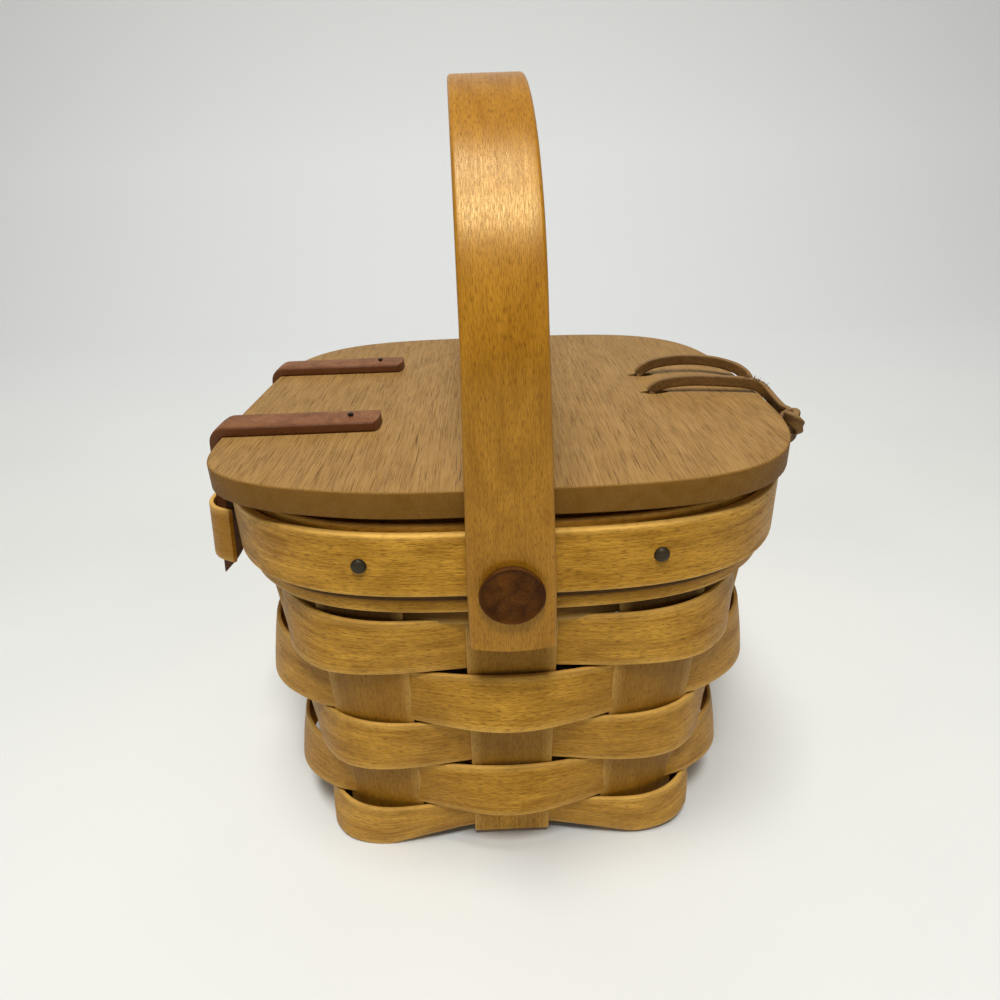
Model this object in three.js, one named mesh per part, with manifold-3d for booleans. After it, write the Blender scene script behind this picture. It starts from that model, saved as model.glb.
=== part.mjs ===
// Small square splint basket with a hinged board lid and an upright swing handle.
// Millimetres, +Z up, front face towards -Y, origin on the floor under the middle of the base.
import * as THREE from "three";
import { mergeVertices } from "three/addons/utils/BufferGeometryUtils.js";
import Module from "manifold-3d";

const wasm = await Module();
wasm.setup();

// Clearances
const SEAT_GAP = 0.3;
const HEAD_GAP = 0.2;
const HOLE_GAP = 0.2;

// Upright splints: each runs up one side, under the base and up the other side
const UPRIGHT_WIDTH = 22;
const UPRIGHT_THICKNESS = 1.4;
const UPRIGHT_SPACING = 14.5;
const UPRIGHT_TOP_DROP = 0.8;

// Wall of the basket: a square with bowed sides and rounded corners, wider at the rim
const BASE_CORNER = 11.5;
const WALL_FLARE = 9;
const BASE_SQUARENESS = 4.8;
const RIM_SQUARENESS = 3.3;

// Weavers: flat rings that pass in front of and behind the uprights in turn
const WEAVER_WIDTH = 16.9;
const WEAVER_THICKNESS = 1.2;
const WEAVER_ROW_GAP = 0.6;
const WEAVER_ROWS = 5;
const WEAVER_LIP = 2.4;
const WEAVER_GRIP = 0.6;
const TOP_WEAVER_WIDTH = 9.3;

// The base is domed, so that the basket stands on its four corners
const BASE_ARCH = 4.5;
const BASE_ARCH_FADE = 25;
const BASE_CLEARANCE = 0.35;
const BASE_SHEET_DOME = 1.9;
const BASE_FOLD = 2.2;
const HEM_FOLD_RISE = 0.5;

// Rim bands: the second band shows as a lip below the outer band, and the lid rests on the inner band
const SECOND_BAND_THICKNESS = 1.4;
const SECOND_BAND_RISE = 3.6;
const SECOND_BAND_HEIGHT = 22.2;
const OUTER_BAND_THICKNESS = 2.2;
const OUTER_BAND_STEP = 5.1;
const OUTER_BAND_HEIGHT = 15.6;
const INNER_BAND_THICKNESS = 1.6;
const INNER_BAND_HEIGHT = 18.2;
const INNER_BAND_RISE = 3.4;

// Band nails
const NAIL_OFFSET = 32.6;
const NAIL_HEIGHT = 8.1;
const NAIL_HEAD_RADIUS = 1.8;
const NAIL_HEAD_HEIGHT = 1.1;
const NAIL_SHANK_RADIUS = 0.7;
const NAIL_SHORT = 0.2;

// Swing handle
const HANDLE_STANDOFF = 0.8;
const HANDLE_THICKNESS = 3.8;
const HANDLE_FOOT_WIDTH = 19.4;
const HANDLE_GRIP_WIDTH = 16.6;
const HANDLE_BEND_RADIUS = 55.1;
const HANDLE_RISE = 79.6;
const HANDLE_PIVOT_HEIGHT = 3.9;
const HANDLE_TAPER = 56;
const HANDLE_FOOT_DROP = 14.5;
const HANDLE_FOOT_CURVE = 1.2;

// Handle rivets
const RIVET_HEAD_RADIUS = 7.2;
const RIVET_HEAD_HEIGHT = 1.8;
const RIVET_RIM_WIDTH = 0.8;
const RIVET_RIM_HEIGHT = 0.3;
const RIVET_SHANK_RADIUS = 2.5;
const RIVET_TAIL = 0.8;
const BURR_RADIUS = 5.5;
const BURR_THICKNESS = 1;

// Lid board
const LID_INSET = 0.8;
const LID_SQUARENESS = 3.75;
const LID_THICKNESS = 6.4;
const LID_EDGE_ROUND = 0.5;

// Leather hinge straps on the left side
const STRAP_OFFSET = 29.5;
const STRAP_WIDTH = 10.6;
const STRAP_THICKNESS = 2.6;
const STRAP_LAP = 41.3;
const STRAP_STANDOFF = 0.4;
const STRAP_BEND_RADIUS = 3;
const STRAP_TAIL = 6.5;
const STRAP_END_CURVE = 2.2;
const HINGE_FLEX_GAP = 0.8;
const TACK_INSET = 7.7;
const TACK_HEAD_RADIUS = 1.5;
const TACK_HEAD_HEIGHT = 0.8;
const TACK_SHANK_RADIUS = 0.7;
const TACK_SHORT = 2;

// Keeper strip that holds the strap tails against the rim
const KEEPER_HALF_LENGTH = 38;
const KEEPER_THICKNESS = 2.2;
const KEEPER_HEIGHT = 15.5;
const KEEPER_DROP = 6.3;
const KEEPER_NAIL_DROP = 6.3;

// Pull thong on the right side of the lid
const THONG_RADIUS = 1.6;
const THONG_HOLE_GAP = 0.6;
const THONG_HOLE_INSET = 29.6;
const THONG_HOLE_FRONT_Y = -9;
const THONG_HOLE_BACK_Y = 10;
const KNOT_RADIUS = 3.2;
const KNOT_OUT = 32.2;
const KNOT_Y = -33.6;
const KNOT_DROP = 2.7;

// Route of the thong, chosen by eye: distance out from the holes, Y, and height above the top of the lid
const THONG_FRONT_ROUTE = [
  [32, -30.1, -0.9],
  [31.6, -27, -0.9],
  [31.7, -21, -0.5],
  [31.3, -16.6, 0.5],
  [29.6, -13.6, 2],
  [26, -12.4, 2.8],
  [20, -11.3, 3.2],
  [12, -9.7, 3.3],
  [5.5, -9.4, 2.9],
  [2.4, -9.1, 2.1],
  [0.6, -9, 1],
  [0, -9, -0.7],
];
const THONG_UNDER_ROUTE = [
  [0, -9, -5.4],
  [0, -8.6, -6.9],
  [0, -7.2, -8.3],
  [0, 0.5, -8.6],
  [0, 8.2, -8.3],
  [0, 9.6, -6.9],
  [0, 10, -5.4],
];
const THONG_BACK_ROUTE = [
  [0, 10, -0.7],
  [0.6, 10, 1.2],
  [2.4, 10.2, 2.5],
  [5.5, 10.6, 3.5],
  [12, 11.4, 4],
  [18.5, 10.6, 4],
  [23.5, 8, 3.8],
  [27.2, 5, 3.2],
  [29.6, 2.8, 2.3],
  [31.7, 0.6, 0.3],
  [32.3, -4, -3],
  [32.2, -12, -4.6],
  [32.1, -20, -4.9],
  [32, -27, -5],
  [32.1, -30.1, -4.5],
];

// Widths worked out from the sizes above
const UPRIGHT_PITCH = UPRIGHT_WIDTH + UPRIGHT_SPACING;
const BASE_HALF = UPRIGHT_PITCH + UPRIGHT_WIDTH / 2 + BASE_CORNER;
const RIM_HALF = BASE_HALF + WALL_FLARE;
const WEAVE_SWING = (UPRIGHT_THICKNESS + WEAVER_THICKNESS) / 2 + SEAT_GAP;
const WEAVE_REACH = WEAVE_SWING + WEAVER_THICKNESS / 2 + SEAT_GAP;
const SECOND_BAND_OUT = WEAVE_REACH + SECOND_BAND_THICKNESS;
const OUTER_BAND_IN = SECOND_BAND_OUT + SEAT_GAP;
const OUTER_BAND_OUT = OUTER_BAND_IN + OUTER_BAND_THICKNESS;
const INNER_BAND_IN = -WEAVE_REACH - INNER_BAND_THICKNESS;
const RIM_FACE = RIM_HALF + OUTER_BAND_OUT;
const HANDLE_FACE = RIM_FACE + HANDLE_STANDOFF + HANDLE_THICKNESS;
const LID_HALF = RIM_FACE - LID_INSET;
const STRAP_REACH = LID_HALF - STRAP_LAP;
const THONG_HOLE_X = LID_HALF - THONG_HOLE_INSET;

// Heights worked out from the sizes above
const BASE_SHEET_Z = BASE_CLEARANCE + UPRIGHT_THICKNESS + SEAT_GAP / 2;
const ROW_PITCH = WEAVER_WIDTH + WEAVER_ROW_GAP;
const TOP_ROW_Z = WEAVER_ROWS * ROW_PITCH;
const SECOND_BAND_BOTTOM_Z = TOP_ROW_Z + SECOND_BAND_RISE;
const SECOND_BAND_TOP_Z = SECOND_BAND_BOTTOM_Z + SECOND_BAND_HEIGHT;
const OUTER_BAND_BOTTOM_Z = SECOND_BAND_BOTTOM_Z + OUTER_BAND_STEP;
const OUTER_BAND_TOP_Z = OUTER_BAND_BOTTOM_Z + OUTER_BAND_HEIGHT;
const INNER_BAND_TOP_Z = OUTER_BAND_TOP_Z + INNER_BAND_RISE;
const INNER_BAND_BOTTOM_Z = INNER_BAND_TOP_Z - INNER_BAND_HEIGHT;
const UPRIGHT_TOP_Z = OUTER_BAND_TOP_Z - UPRIGHT_TOP_DROP;
const NAIL_Z = OUTER_BAND_BOTTOM_Z + NAIL_HEIGHT;
const HANDLE_PIVOT_Z = OUTER_BAND_BOTTOM_Z + HANDLE_PIVOT_HEIGHT;
const LID_BOTTOM_Z = INNER_BAND_TOP_Z + SEAT_GAP;
const LID_TOP_Z = LID_BOTTOM_Z + LID_THICKNESS;
const HANDLE_TOP_Z = LID_TOP_Z + HANDLE_RISE;
const HINGE_Z = (OUTER_BAND_TOP_Z + LID_BOTTOM_Z) / 2;
const KEEPER_TOP_Z = OUTER_BAND_TOP_Z - KEEPER_DROP;
const KEEPER_BOTTOM_Z = KEEPER_TOP_Z - KEEPER_HEIGHT;
const KEEPER_NAIL_Z = KEEPER_TOP_Z - KEEPER_NAIL_DROP;
const STRAP_TIP_Z = KEEPER_BOTTOM_Z - STRAP_TAIL;

const MAPLE = new THREE.MeshStandardMaterial({ color: 0xb08440, roughness: 0.55, metalness: 0 });
const HANDLE_WOOD = new THREE.MeshStandardMaterial({ color: 0xb98c46, roughness: 0.5, metalness: 0 });
const LID_WOOD = new THREE.MeshStandardMaterial({ color: 0xaa8255, roughness: 0.6, metalness: 0 });
const STRAP_LEATHER = new THREE.MeshStandardMaterial({ color: 0x96644b, roughness: 0.7, metalness: 0 });
const THONG_LEATHER = new THREE.MeshStandardMaterial({ color: 0x644623, roughness: 0.7, metalness: 0 });
const NAIL_STEEL = new THREE.MeshStandardMaterial({ color: 0x5a5f4b, roughness: 0.5, metalness: 0.8 });
const RIVET_COPPER = new THREE.MeshStandardMaterial({ color: 0x693e26, roughness: 0.5, metalness: 0.8 });

const basket = new THREE.Group();
basket.name = "splint_basket";

function addPiece(name, geometry, material) {
  const mesh = new THREE.Mesh(geometry, material);
  mesh.name = name;
  basket.add(mesh);
}

// Closed solid from two facing grids of points, listed along the piece and then across it
function gridSolid(outer, inner, closed) {
  const along = outer.length;
  const across = outer[0].length;
  const positions = [...outer.flat(), ...inner.flat()].flat();
  const shift = along * across;
  const indices = [];
  const quad = (a, b, c, d) => indices.push(a, b, c, a, c, d);
  const steps = closed ? along : along - 1;
  for (let i = 0; i < steps; i += 1) {
    const next = (i + 1) % along;
    for (let j = 0; j < across - 1; j += 1) {
      const a = i * across + j;
      const b = next * across + j;
      quad(a, b, b + 1, a + 1);
      quad(shift + a, shift + a + 1, shift + b + 1, shift + b);
    }
    const low = [i * across, next * across];
    const high = [low[0] + across - 1, low[1] + across - 1];
    quad(low[0], shift + low[0], shift + low[1], low[1]);
    quad(high[0], high[1], shift + high[1], shift + high[0]);
  }
  if (!closed) {
    const last = (along - 1) * across;
    for (let j = 0; j < across - 1; j += 1) {
      quad(j, j + 1, shift + j + 1, shift + j);
      quad(last + j, shift + last + j, shift + last + j + 1, last + j + 1);
    }
  }
  const geometry = new THREE.BufferGeometry();
  geometry.setAttribute("position", new THREE.Float32BufferAttribute(positions, 3));
  geometry.setIndex(indices);
  return faceOutwards(geometry);
}

// Turns every triangle round when the solid is inside out
function faceOutwards(geometry) {
  const p = geometry.getAttribute("position");
  const index = geometry.getIndex();
  const corner = (k) => new THREE.Vector3().fromBufferAttribute(p, index.getX(k));
  let volume = 0;
  for (let k = 0; k < index.count; k += 3) {
    volume += corner(k).dot(corner(k + 1).cross(corner(k + 2)));
  }
  if (volume < 0) {
    for (let k = 0; k < index.count; k += 3) {
      const kept = index.getX(k + 1);
      index.setX(k + 1, index.getX(k + 2));
      index.setX(k + 2, kept);
    }
  }
  return geometry;
}

function toManifold(geometry) {
  const bare = geometry.clone();
  bare.deleteAttribute("normal");
  bare.deleteAttribute("uv");
  const merged = mergeVertices(bare, 1e-4);
  return new wasm.Manifold(
    new wasm.Mesh({
      numProp: 3,
      vertProperties: new Float32Array(merged.getAttribute("position").array),
      triVerts: new Uint32Array(merged.getIndex().array),
    }),
  );
}

function drill(geometry, drills) {
  let solid = toManifold(geometry);
  for (const tool of drills) {
    solid = solid.subtract(toManifold(tool));
  }
  const mesh = solid.getMesh();
  const cut = new THREE.BufferGeometry();
  cut.setAttribute("position", new THREE.Float32BufferAttribute(mesh.vertProperties, 3));
  cut.setIndex(Array.from(mesh.triVerts));
  return cut;
}

// Turned piece: the profile lists radius and distance along the given direction from a point
function turned(profile, sides, point, direction) {
  const geometry = new THREE.LatheGeometry(profile.map((q) => new THREE.Vector2(q[0], q[1])), sides);
  geometry.deleteAttribute("normal");
  geometry.deleteAttribute("uv");
  const turn = new THREE.Quaternion().setFromUnitVectors(new THREE.Vector3(0, 1, 0), direction);
  geometry.applyQuaternion(turn);
  geometry.translate(point.x, point.y, point.z);
  return faceOutwards(mergeVertices(geometry, 1e-4));
}

function rod(radius, from, to, sides) {
  const direction = to.clone().sub(from);
  const length = direction.length();
  const profile = [[0, 0], [radius, 0], [radius, length], [0, length]];
  return turned(profile, sides, from, direction.normalize());
}

// Plan of the wall at a height: half size and squareness
function wallPlan(z) {
  const t = Math.min(Math.max(z / SECOND_BAND_BOTTOM_Z, 0), 1);
  const half = BASE_HALF + (RIM_HALF - BASE_HALF) * t;
  const squareness = BASE_SQUARENESS + (RIM_SQUARENESS - BASE_SQUARENESS) * t;
  return { half, squareness };
}

// Distance from the middle to the bowed side, at a distance u along the side
function sideDepth(u, half, squareness) {
  return half * (1 - (Math.abs(u) / half) ** squareness) ** (1 / squareness);
}

// Point on one of the four sides of a plan, moved outwards by an offset along the plan's normal
function planPoint(side, u, plan, offset) {
  const depth = sideDepth(u, plan.half, plan.squareness);
  const normal = planNormal(u, plan);
  return turnSide(side, u + offset * normal[0], depth + offset * normal[1]);
}

// Outward direction of a side, along the side and away from the middle
function planNormal(u, plan) {
  const depth = sideDepth(u, plan.half, plan.squareness);
  const along = Math.sign(u) * Math.abs(u) ** (plan.squareness - 1);
  const away = depth ** (plan.squareness - 1);
  const length = Math.hypot(along, away);
  return [along / length, away / length];
}

// Side 0 is the front, 1 the right, 2 the back and 3 the left
function turnSide(side, u, depth) {
  const turns = [[u, -depth], [depth, u], [-u, depth], [-depth, -u]];
  return turns[side];
}

function cornerReach(plan) {
  return plan.half * 2 ** (-1 / plan.squareness);
}

// How far the weave is lifted by the domed base, at a place along a side and a height
function archLift(u, z) {
  const share = Math.max(0, 1 - (u / UPRIGHT_PITCH) ** 2);
  return BASE_ARCH * Math.exp(-z / BASE_ARCH_FADE) * share;
}

function mix(a, b, t) {
  return a + (b - a) * t;
}

// Places along one side of a weaver: distance along the side, and 1 outside or -1 inside an upright
function weaverStations(side, row, reach) {
  const grip = UPRIGHT_WIDTH / 2 + WEAVER_GRIP;
  const signs = [0, 1, 2].map((k) => ((3 * side + k + row) % 2 === 1 ? 1 : -1));
  const centres = [-UPRIGHT_PITCH, 0, UPRIGHT_PITCH];
  const stations = [{ u: -reach, swing: 0 }];
  for (const t of [0.35, 0.7]) {
    stations.push({ u: mix(-reach, centres[0] - grip, t), swing: signs[0] * Math.sin((t * Math.PI) / 2) });
  }
  for (let k = 0; k < 3; k += 1) {
    for (const edge of [-grip, 0, grip]) {
      stations.push({ u: centres[k] + edge, swing: signs[k] });
    }
    if (k < 2) {
      for (const t of [0.25, 0.5, 0.75]) {
        const u = mix(centres[k] + grip, centres[k + 1] - grip, t);
        stations.push({ u, swing: signs[k] * Math.cos(t * Math.PI) });
      }
    }
  }
  for (const t of [0.3, 0.65]) {
    stations.push({ u: mix(centres[2] + grip, reach, t), swing: signs[2] * Math.cos((t * Math.PI) / 2) });
  }
  return stations;
}

// Lift of a weaver's edge. The lowest weaver also clears the base sheet where it passes inside an upright.
function edgeLift(at, z) {
  const lift = archLift(at.u, z);
  if (z > 0) {
    return lift;
  }
  const hem = wallPlan(0);
  const sheetZ = baseSheetZ(at.u, sideDepth(at.u, hem.half, hem.squareness));
  const clearZ = sheetZ + UPRIGHT_THICKNESS / 2 + SEAT_GAP + HEM_FOLD_RISE;
  return mix(lift, Math.max(lift, clearZ), (1 - at.swing) / 2);
}

// A weaver's lower edge stands out from the slope of the wall where it passes outside an upright
function weaverRing(row, bottomZ, topZ, lip) {
  const outer = [];
  const inner = [];
  for (let side = 0; side < 4; side += 1) {
    const bottom = weaverStations(side, row, cornerReach(wallPlan(bottomZ)));
    const top = weaverStations(side, row, cornerReach(wallPlan(topZ)));
    for (let k = 0; k < bottom.length; k += 1) {
      const edges = [
        { at: bottom[k], z: bottomZ, out: (lip * (1 + bottom[k].swing)) / 2 },
        { at: top[k], z: topZ, out: 0 },
      ];
      const outside = [];
      const inside = [];
      for (const edge of edges) {
        const z = edge.z + edgeLift(edge.at, edge.z);
        const offset = WEAVE_SWING * edge.at.swing + edge.out;
        const plan = wallPlan(z);
        outside.push([...planPoint(side, edge.at.u, plan, offset + WEAVER_THICKNESS / 2), z]);
        inside.push([...planPoint(side, edge.at.u, plan, offset - WEAVER_THICKNESS / 2), z]);
      }
      outer.push(outside);
      inner.push(inside);
    }
  }
  return gridSolid(outer, inner, true);
}

// Upright band round the rim between two offsets from the wall
function rimBand(inOffset, outOffset, bottomZ, topZ) {
  const plan = wallPlan(SECOND_BAND_BOTTOM_Z);
  const reach = cornerReach(plan);
  const outer = [];
  const inner = [];
  const steps = 18;
  for (let side = 0; side < 4; side += 1) {
    for (let k = 0; k < steps; k += 1) {
      const u = reach * Math.sin((Math.PI / 2) * ((2 * k) / steps - 1));
      const out = planPoint(side, u, plan, outOffset);
      const inn = planPoint(side, u, plan, inOffset);
      outer.push([[...out, bottomZ], [...out, topZ]]);
      inner.push([[...inn, bottomZ], [...inn, topZ]]);
    }
  }
  return gridSolid(outer, inner, true);
}

// Height of the middle of the base sheet
function baseSheetZ(u, v) {
  const shares = [u, v].map((w) => Math.max(0, 1 - (w / UPRIGHT_PITCH) ** 2));
  return BASE_SHEET_Z + BASE_SHEET_DOME * (shares[0] + shares[1]);
}

// One half of a splint's line, from the top of the wall to the middle of the base.
// Each place has a depth, a height and a lean from the wall's direction (0) to the floor's (1).
function splintHalf(u, crossingSigns) {
  const places = [];
  const hem = wallPlan(0);
  const floorZ = baseSheetZ(u, sideDepth(u, hem.half, hem.squareness));
  const foldZ = floorZ + BASE_FOLD;
  for (const share of [0, 0.2, 0.4, 0.6, 0.8, 1]) {
    const z = mix(SECOND_BAND_BOTTOM_Z, foldZ, share);
    const plan = wallPlan(z);
    places.push({ depth: sideDepth(u, plan.half, plan.squareness), z, lean: 0 });
  }
  places.unshift({ depth: places[0].depth, z: UPRIGHT_TOP_Z, lean: 0 });
  const foldDepth = places[places.length - 1].depth;
  for (const t of [0.35, 0.7, 1]) {
    places.push({ depth: foldDepth - BASE_FOLD * t * t, z: mix(floorZ, foldZ, (1 - t) ** 2), lean: t });
  }
  const weave = (UPRIGHT_THICKNESS + SEAT_GAP) / 2;
  const half = UPRIGHT_WIDTH / 2;
  const crossings = [
    [UPRIGHT_PITCH + half, crossingSigns[0]],
    [UPRIGHT_PITCH, crossingSigns[0]],
    [UPRIGHT_PITCH - half, crossingSigns[0]],
    [half, crossingSigns[1]],
    [0, crossingSigns[1]],
  ];
  for (const [v, sign] of crossings) {
    places.push({ depth: v, z: baseSheetZ(u, v) + weave * sign, lean: 1 });
  }
  return places;
}

// Splint that runs up one side, under the base and up the opposite side.
// Turn 0 runs from front to back and turn 1 from right to left.
function baseSplint(column, turn) {
  const outer = [];
  const inner = [];
  const centre = (column - 1) * UPRIGHT_PITCH;
  const edges = [-1, 0, 1].map((k) => centre + (k * UPRIGHT_WIDTH) / 2);
  const signOf = (crossing) => ((column + crossing + turn) % 2 === 0 ? 1 : -1);
  const signs = [signOf(0), signOf(1)];
  const lines = edges.map((u) => splintHalf(u, signs));
  const order = lines[0].map((place, k) => k);
  const backwards = order.slice(0, -1).reverse();
  const visits = [...order.map((k) => [k, 1]), ...backwards.map((k) => [k, -1])];
  for (const [k, way] of visits) {
    const outside = [];
    const inside = [];
    edges.forEach((u, j) => {
      const place = lines[j][k];
      const normal = planNormal(u, wallPlan(place.z));
      const level = Math.cos((place.lean * Math.PI) / 2);
      const down = Math.sin((place.lean * Math.PI) / 2);
      for (const [list, offset] of [[outside, UPRIGHT_THICKNESS / 2], [inside, -UPRIGHT_THICKNESS / 2]]) {
        const along = u + offset * level * normal[0];
        const depth = place.depth + offset * level * normal[1];
        list.push([...turnSide(turn, along, way * depth), place.z - offset * down]);
      }
    });
    outer.push(outside);
    inner.push(inside);
  }
  return gridSolid(outer, inner, false);
}

// Strip that follows a line in one plane. Each place on the line has a middle, a normal,
// a width and an amount by which its middle runs on past its edges.
function bentStrip(line, toSpace) {
  const outer = [];
  const inner = [];
  for (const place of line) {
    const outside = [];
    const inside = [];
    for (const v of [-1, -0.5, 0, 0.5, 1]) {
      const run = (place.run ?? 0) * (1 - v * v);
      for (const [list, side] of [[outside, 0.5], [inside, -0.5]]) {
        const a = place.at[0] + side * place.thickness * place.normal[0] + run * place.normal[1];
        const b = place.at[1] + side * place.thickness * place.normal[1] - run * place.normal[0];
        list.push(toSpace(a, b, (v * place.width) / 2));
      }
    }
    outer.push(outside);
    inner.push(inside);
  }
  return gridSolid(outer, inner, false);
}

// Band nails and keeper nails: the seat of each head and the tip of each shank
const rimPlan = wallPlan(SECOND_BAND_BOTTOM_Z);
const nails = [];
const nailSides = [
  [0, "front", ["left", "right"]],
  [1, "right", ["front", "back"]],
  [2, "back", ["right", "left"]],
];
for (const [side, name, hands] of nailSides) {
  for (const [way, hand] of [[-1, hands[0]], [1, hands[1]]]) {
    const at = (offset) => new THREE.Vector3(...planPoint(side, way * NAIL_OFFSET, rimPlan, offset), NAIL_Z);
    nails.push({
      name: `band_nail_${name}_${hand}`,
      seat: at(OUTER_BAND_OUT + HEAD_GAP),
      tip: at(INNER_BAND_IN + NAIL_SHORT),
    });
  }
}
const bandDepth = sideDepth(STRAP_OFFSET - STRAP_WIDTH / 2, RIM_FACE, RIM_SQUARENESS);
const lidDepth = sideDepth(STRAP_OFFSET - STRAP_WIDTH / 2, LID_HALF, LID_SQUARENESS);
const strapFaceX = -Math.max(bandDepth, lidDepth) - STRAP_STANDOFF;
const keeperX = strapFaceX - STRAP_THICKNESS - SEAT_GAP;
const keeperFaceX = keeperX - KEEPER_THICKNESS;
for (const [way, name] of [[-1, "front"], [1, "back"]]) {
  const tipX = -planPoint(1, STRAP_OFFSET, rimPlan, INNER_BAND_IN + NAIL_SHORT)[0];
  nails.push({
    name: `keeper_nail_${name}`,
    seat: new THREE.Vector3(keeperFaceX - HEAD_GAP, way * STRAP_OFFSET, KEEPER_NAIL_Z),
    tip: new THREE.Vector3(tipX, way * STRAP_OFFSET, KEEPER_NAIL_Z),
  });
}
const nailDrills = nails.map((nail) => {
  const beyond = nail.tip.clone().sub(nail.seat).setLength(2);
  const from = nail.seat.clone().sub(beyond);
  return rod(NAIL_SHANK_RADIUS + HOLE_GAP, from, nail.tip.clone().add(beyond), 8);
});
const rivetDrills = [-1, 1].map((way) => {
  const from = new THREE.Vector3(0, way * (HANDLE_FACE + 2), HANDLE_PIVOT_Z);
  const to = new THREE.Vector3(0, way * (RIM_HALF + INNER_BAND_IN - 4), HANDLE_PIVOT_Z);
  return rod(RIVET_SHANK_RADIUS + HOLE_GAP, from, to, 16);
});
const rimDrills = [...nailDrills, ...rivetDrills];

// Splints and weavers
const columnNames = [["left", "middle", "right"], ["front", "middle", "back"]];
for (const turn of [0, 1]) {
  for (const column of [0, 1, 2]) {
    const name = `splint_${turn === 0 ? "front_to_back" : "side_to_side"}_${columnNames[turn][column]}`;
    addPiece(name, drill(baseSplint(column, turn), rimDrills), MAPLE);
  }
}
for (let row = 1; row <= WEAVER_ROWS; row += 1) {
  const bottomZ = (row - 1) * ROW_PITCH;
  addPiece(`weaver_row_${row}`, weaverRing(row, bottomZ, bottomZ + WEAVER_WIDTH, WEAVER_LIP), MAPLE);
}
const topRow = WEAVER_ROWS + 1;
const topWeaver = weaverRing(topRow, TOP_ROW_Z, TOP_ROW_Z + TOP_WEAVER_WIDTH, 0);
addPiece(`weaver_row_${topRow}`, drill(topWeaver, rimDrills), MAPLE);

// Rim bands and their nails
const secondBand = rimBand(WEAVE_REACH, SECOND_BAND_OUT, SECOND_BAND_BOTTOM_Z, SECOND_BAND_TOP_Z);
addPiece("second_band", drill(secondBand, rimDrills), MAPLE);
const outerBand = rimBand(OUTER_BAND_IN, OUTER_BAND_OUT, OUTER_BAND_BOTTOM_Z, OUTER_BAND_TOP_Z);
addPiece("outer_band", drill(outerBand, rimDrills), MAPLE);
const innerBand = rimBand(INNER_BAND_IN, -WEAVE_REACH, INNER_BAND_BOTTOM_Z, INNER_BAND_TOP_Z);
addPiece("inner_band", drill(innerBand, rimDrills), MAPLE);
for (const nail of nails) {
  const outwards = nail.seat.clone().sub(nail.tip);
  const length = outwards.length();
  const profile = [
    [0, -length],
    [NAIL_SHANK_RADIUS, -length],
    [NAIL_SHANK_RADIUS, 0],
    [NAIL_HEAD_RADIUS, 0],
    [NAIL_HEAD_RADIUS * 0.8, NAIL_HEAD_HEIGHT * 0.6],
    [NAIL_HEAD_RADIUS * 0.4, NAIL_HEAD_HEIGHT * 0.92],
    [0, NAIL_HEAD_HEIGHT],
  ];
  addPiece(nail.name, turned(profile, 8, nail.seat, outwards.normalize()), NAIL_STEEL);
}

// Swing handle
function handleLine() {
  const middle = HANDLE_FACE - HANDLE_THICKNESS / 2;
  const bendZ = HANDLE_TOP_Z - HANDLE_THICKNESS / 2 - HANDLE_BEND_RADIUS;
  const bendY = middle - HANDLE_BEND_RADIUS;
  const widthAt = (length) => {
    const share = Math.min(Math.max(length / HANDLE_TAPER, 0), 1);
    return mix(HANDLE_FOOT_WIDTH, HANDLE_GRIP_WIDTH, share);
  };
  const half = [];
  const footZ = HANDLE_PIVOT_Z - HANDLE_FOOT_DROP;
  for (const z of [footZ, HANDLE_PIVOT_Z, mix(HANDLE_PIVOT_Z, bendZ, 0.5), bendZ]) {
    half.push({ at: [-middle, z], normal: [-1, 0], length: z - HANDLE_PIVOT_Z });
  }
  half[0].run = -HANDLE_FOOT_CURVE;
  const steps = 10;
  for (let k = 1; k <= steps; k += 1) {
    const angle = (k / steps) * (Math.PI / 2);
    const at = [-bendY - HANDLE_BEND_RADIUS * Math.cos(angle), bendZ + HANDLE_BEND_RADIUS * Math.sin(angle)];
    const length = bendZ - HANDLE_PIVOT_Z + HANDLE_BEND_RADIUS * angle;
    half.push({ at, normal: [-Math.cos(angle), Math.sin(angle)], length });
  }
  for (const place of half) {
    place.width = widthAt(place.length);
    place.thickness = HANDLE_THICKNESS;
  }
  const mirrored = half.map((place) => ({
    ...place,
    at: [-place.at[0], place.at[1]],
    normal: [-place.normal[0], place.normal[1]],
    run: place.run === undefined ? undefined : -place.run,
  }));
  return [...half, ...mirrored.reverse()];
}
const handle = bentStrip(handleLine(), (y, z, x) => [x, y, z]);
addPiece("handle", drill(handle, rivetDrills), HANDLE_WOOD);

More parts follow.
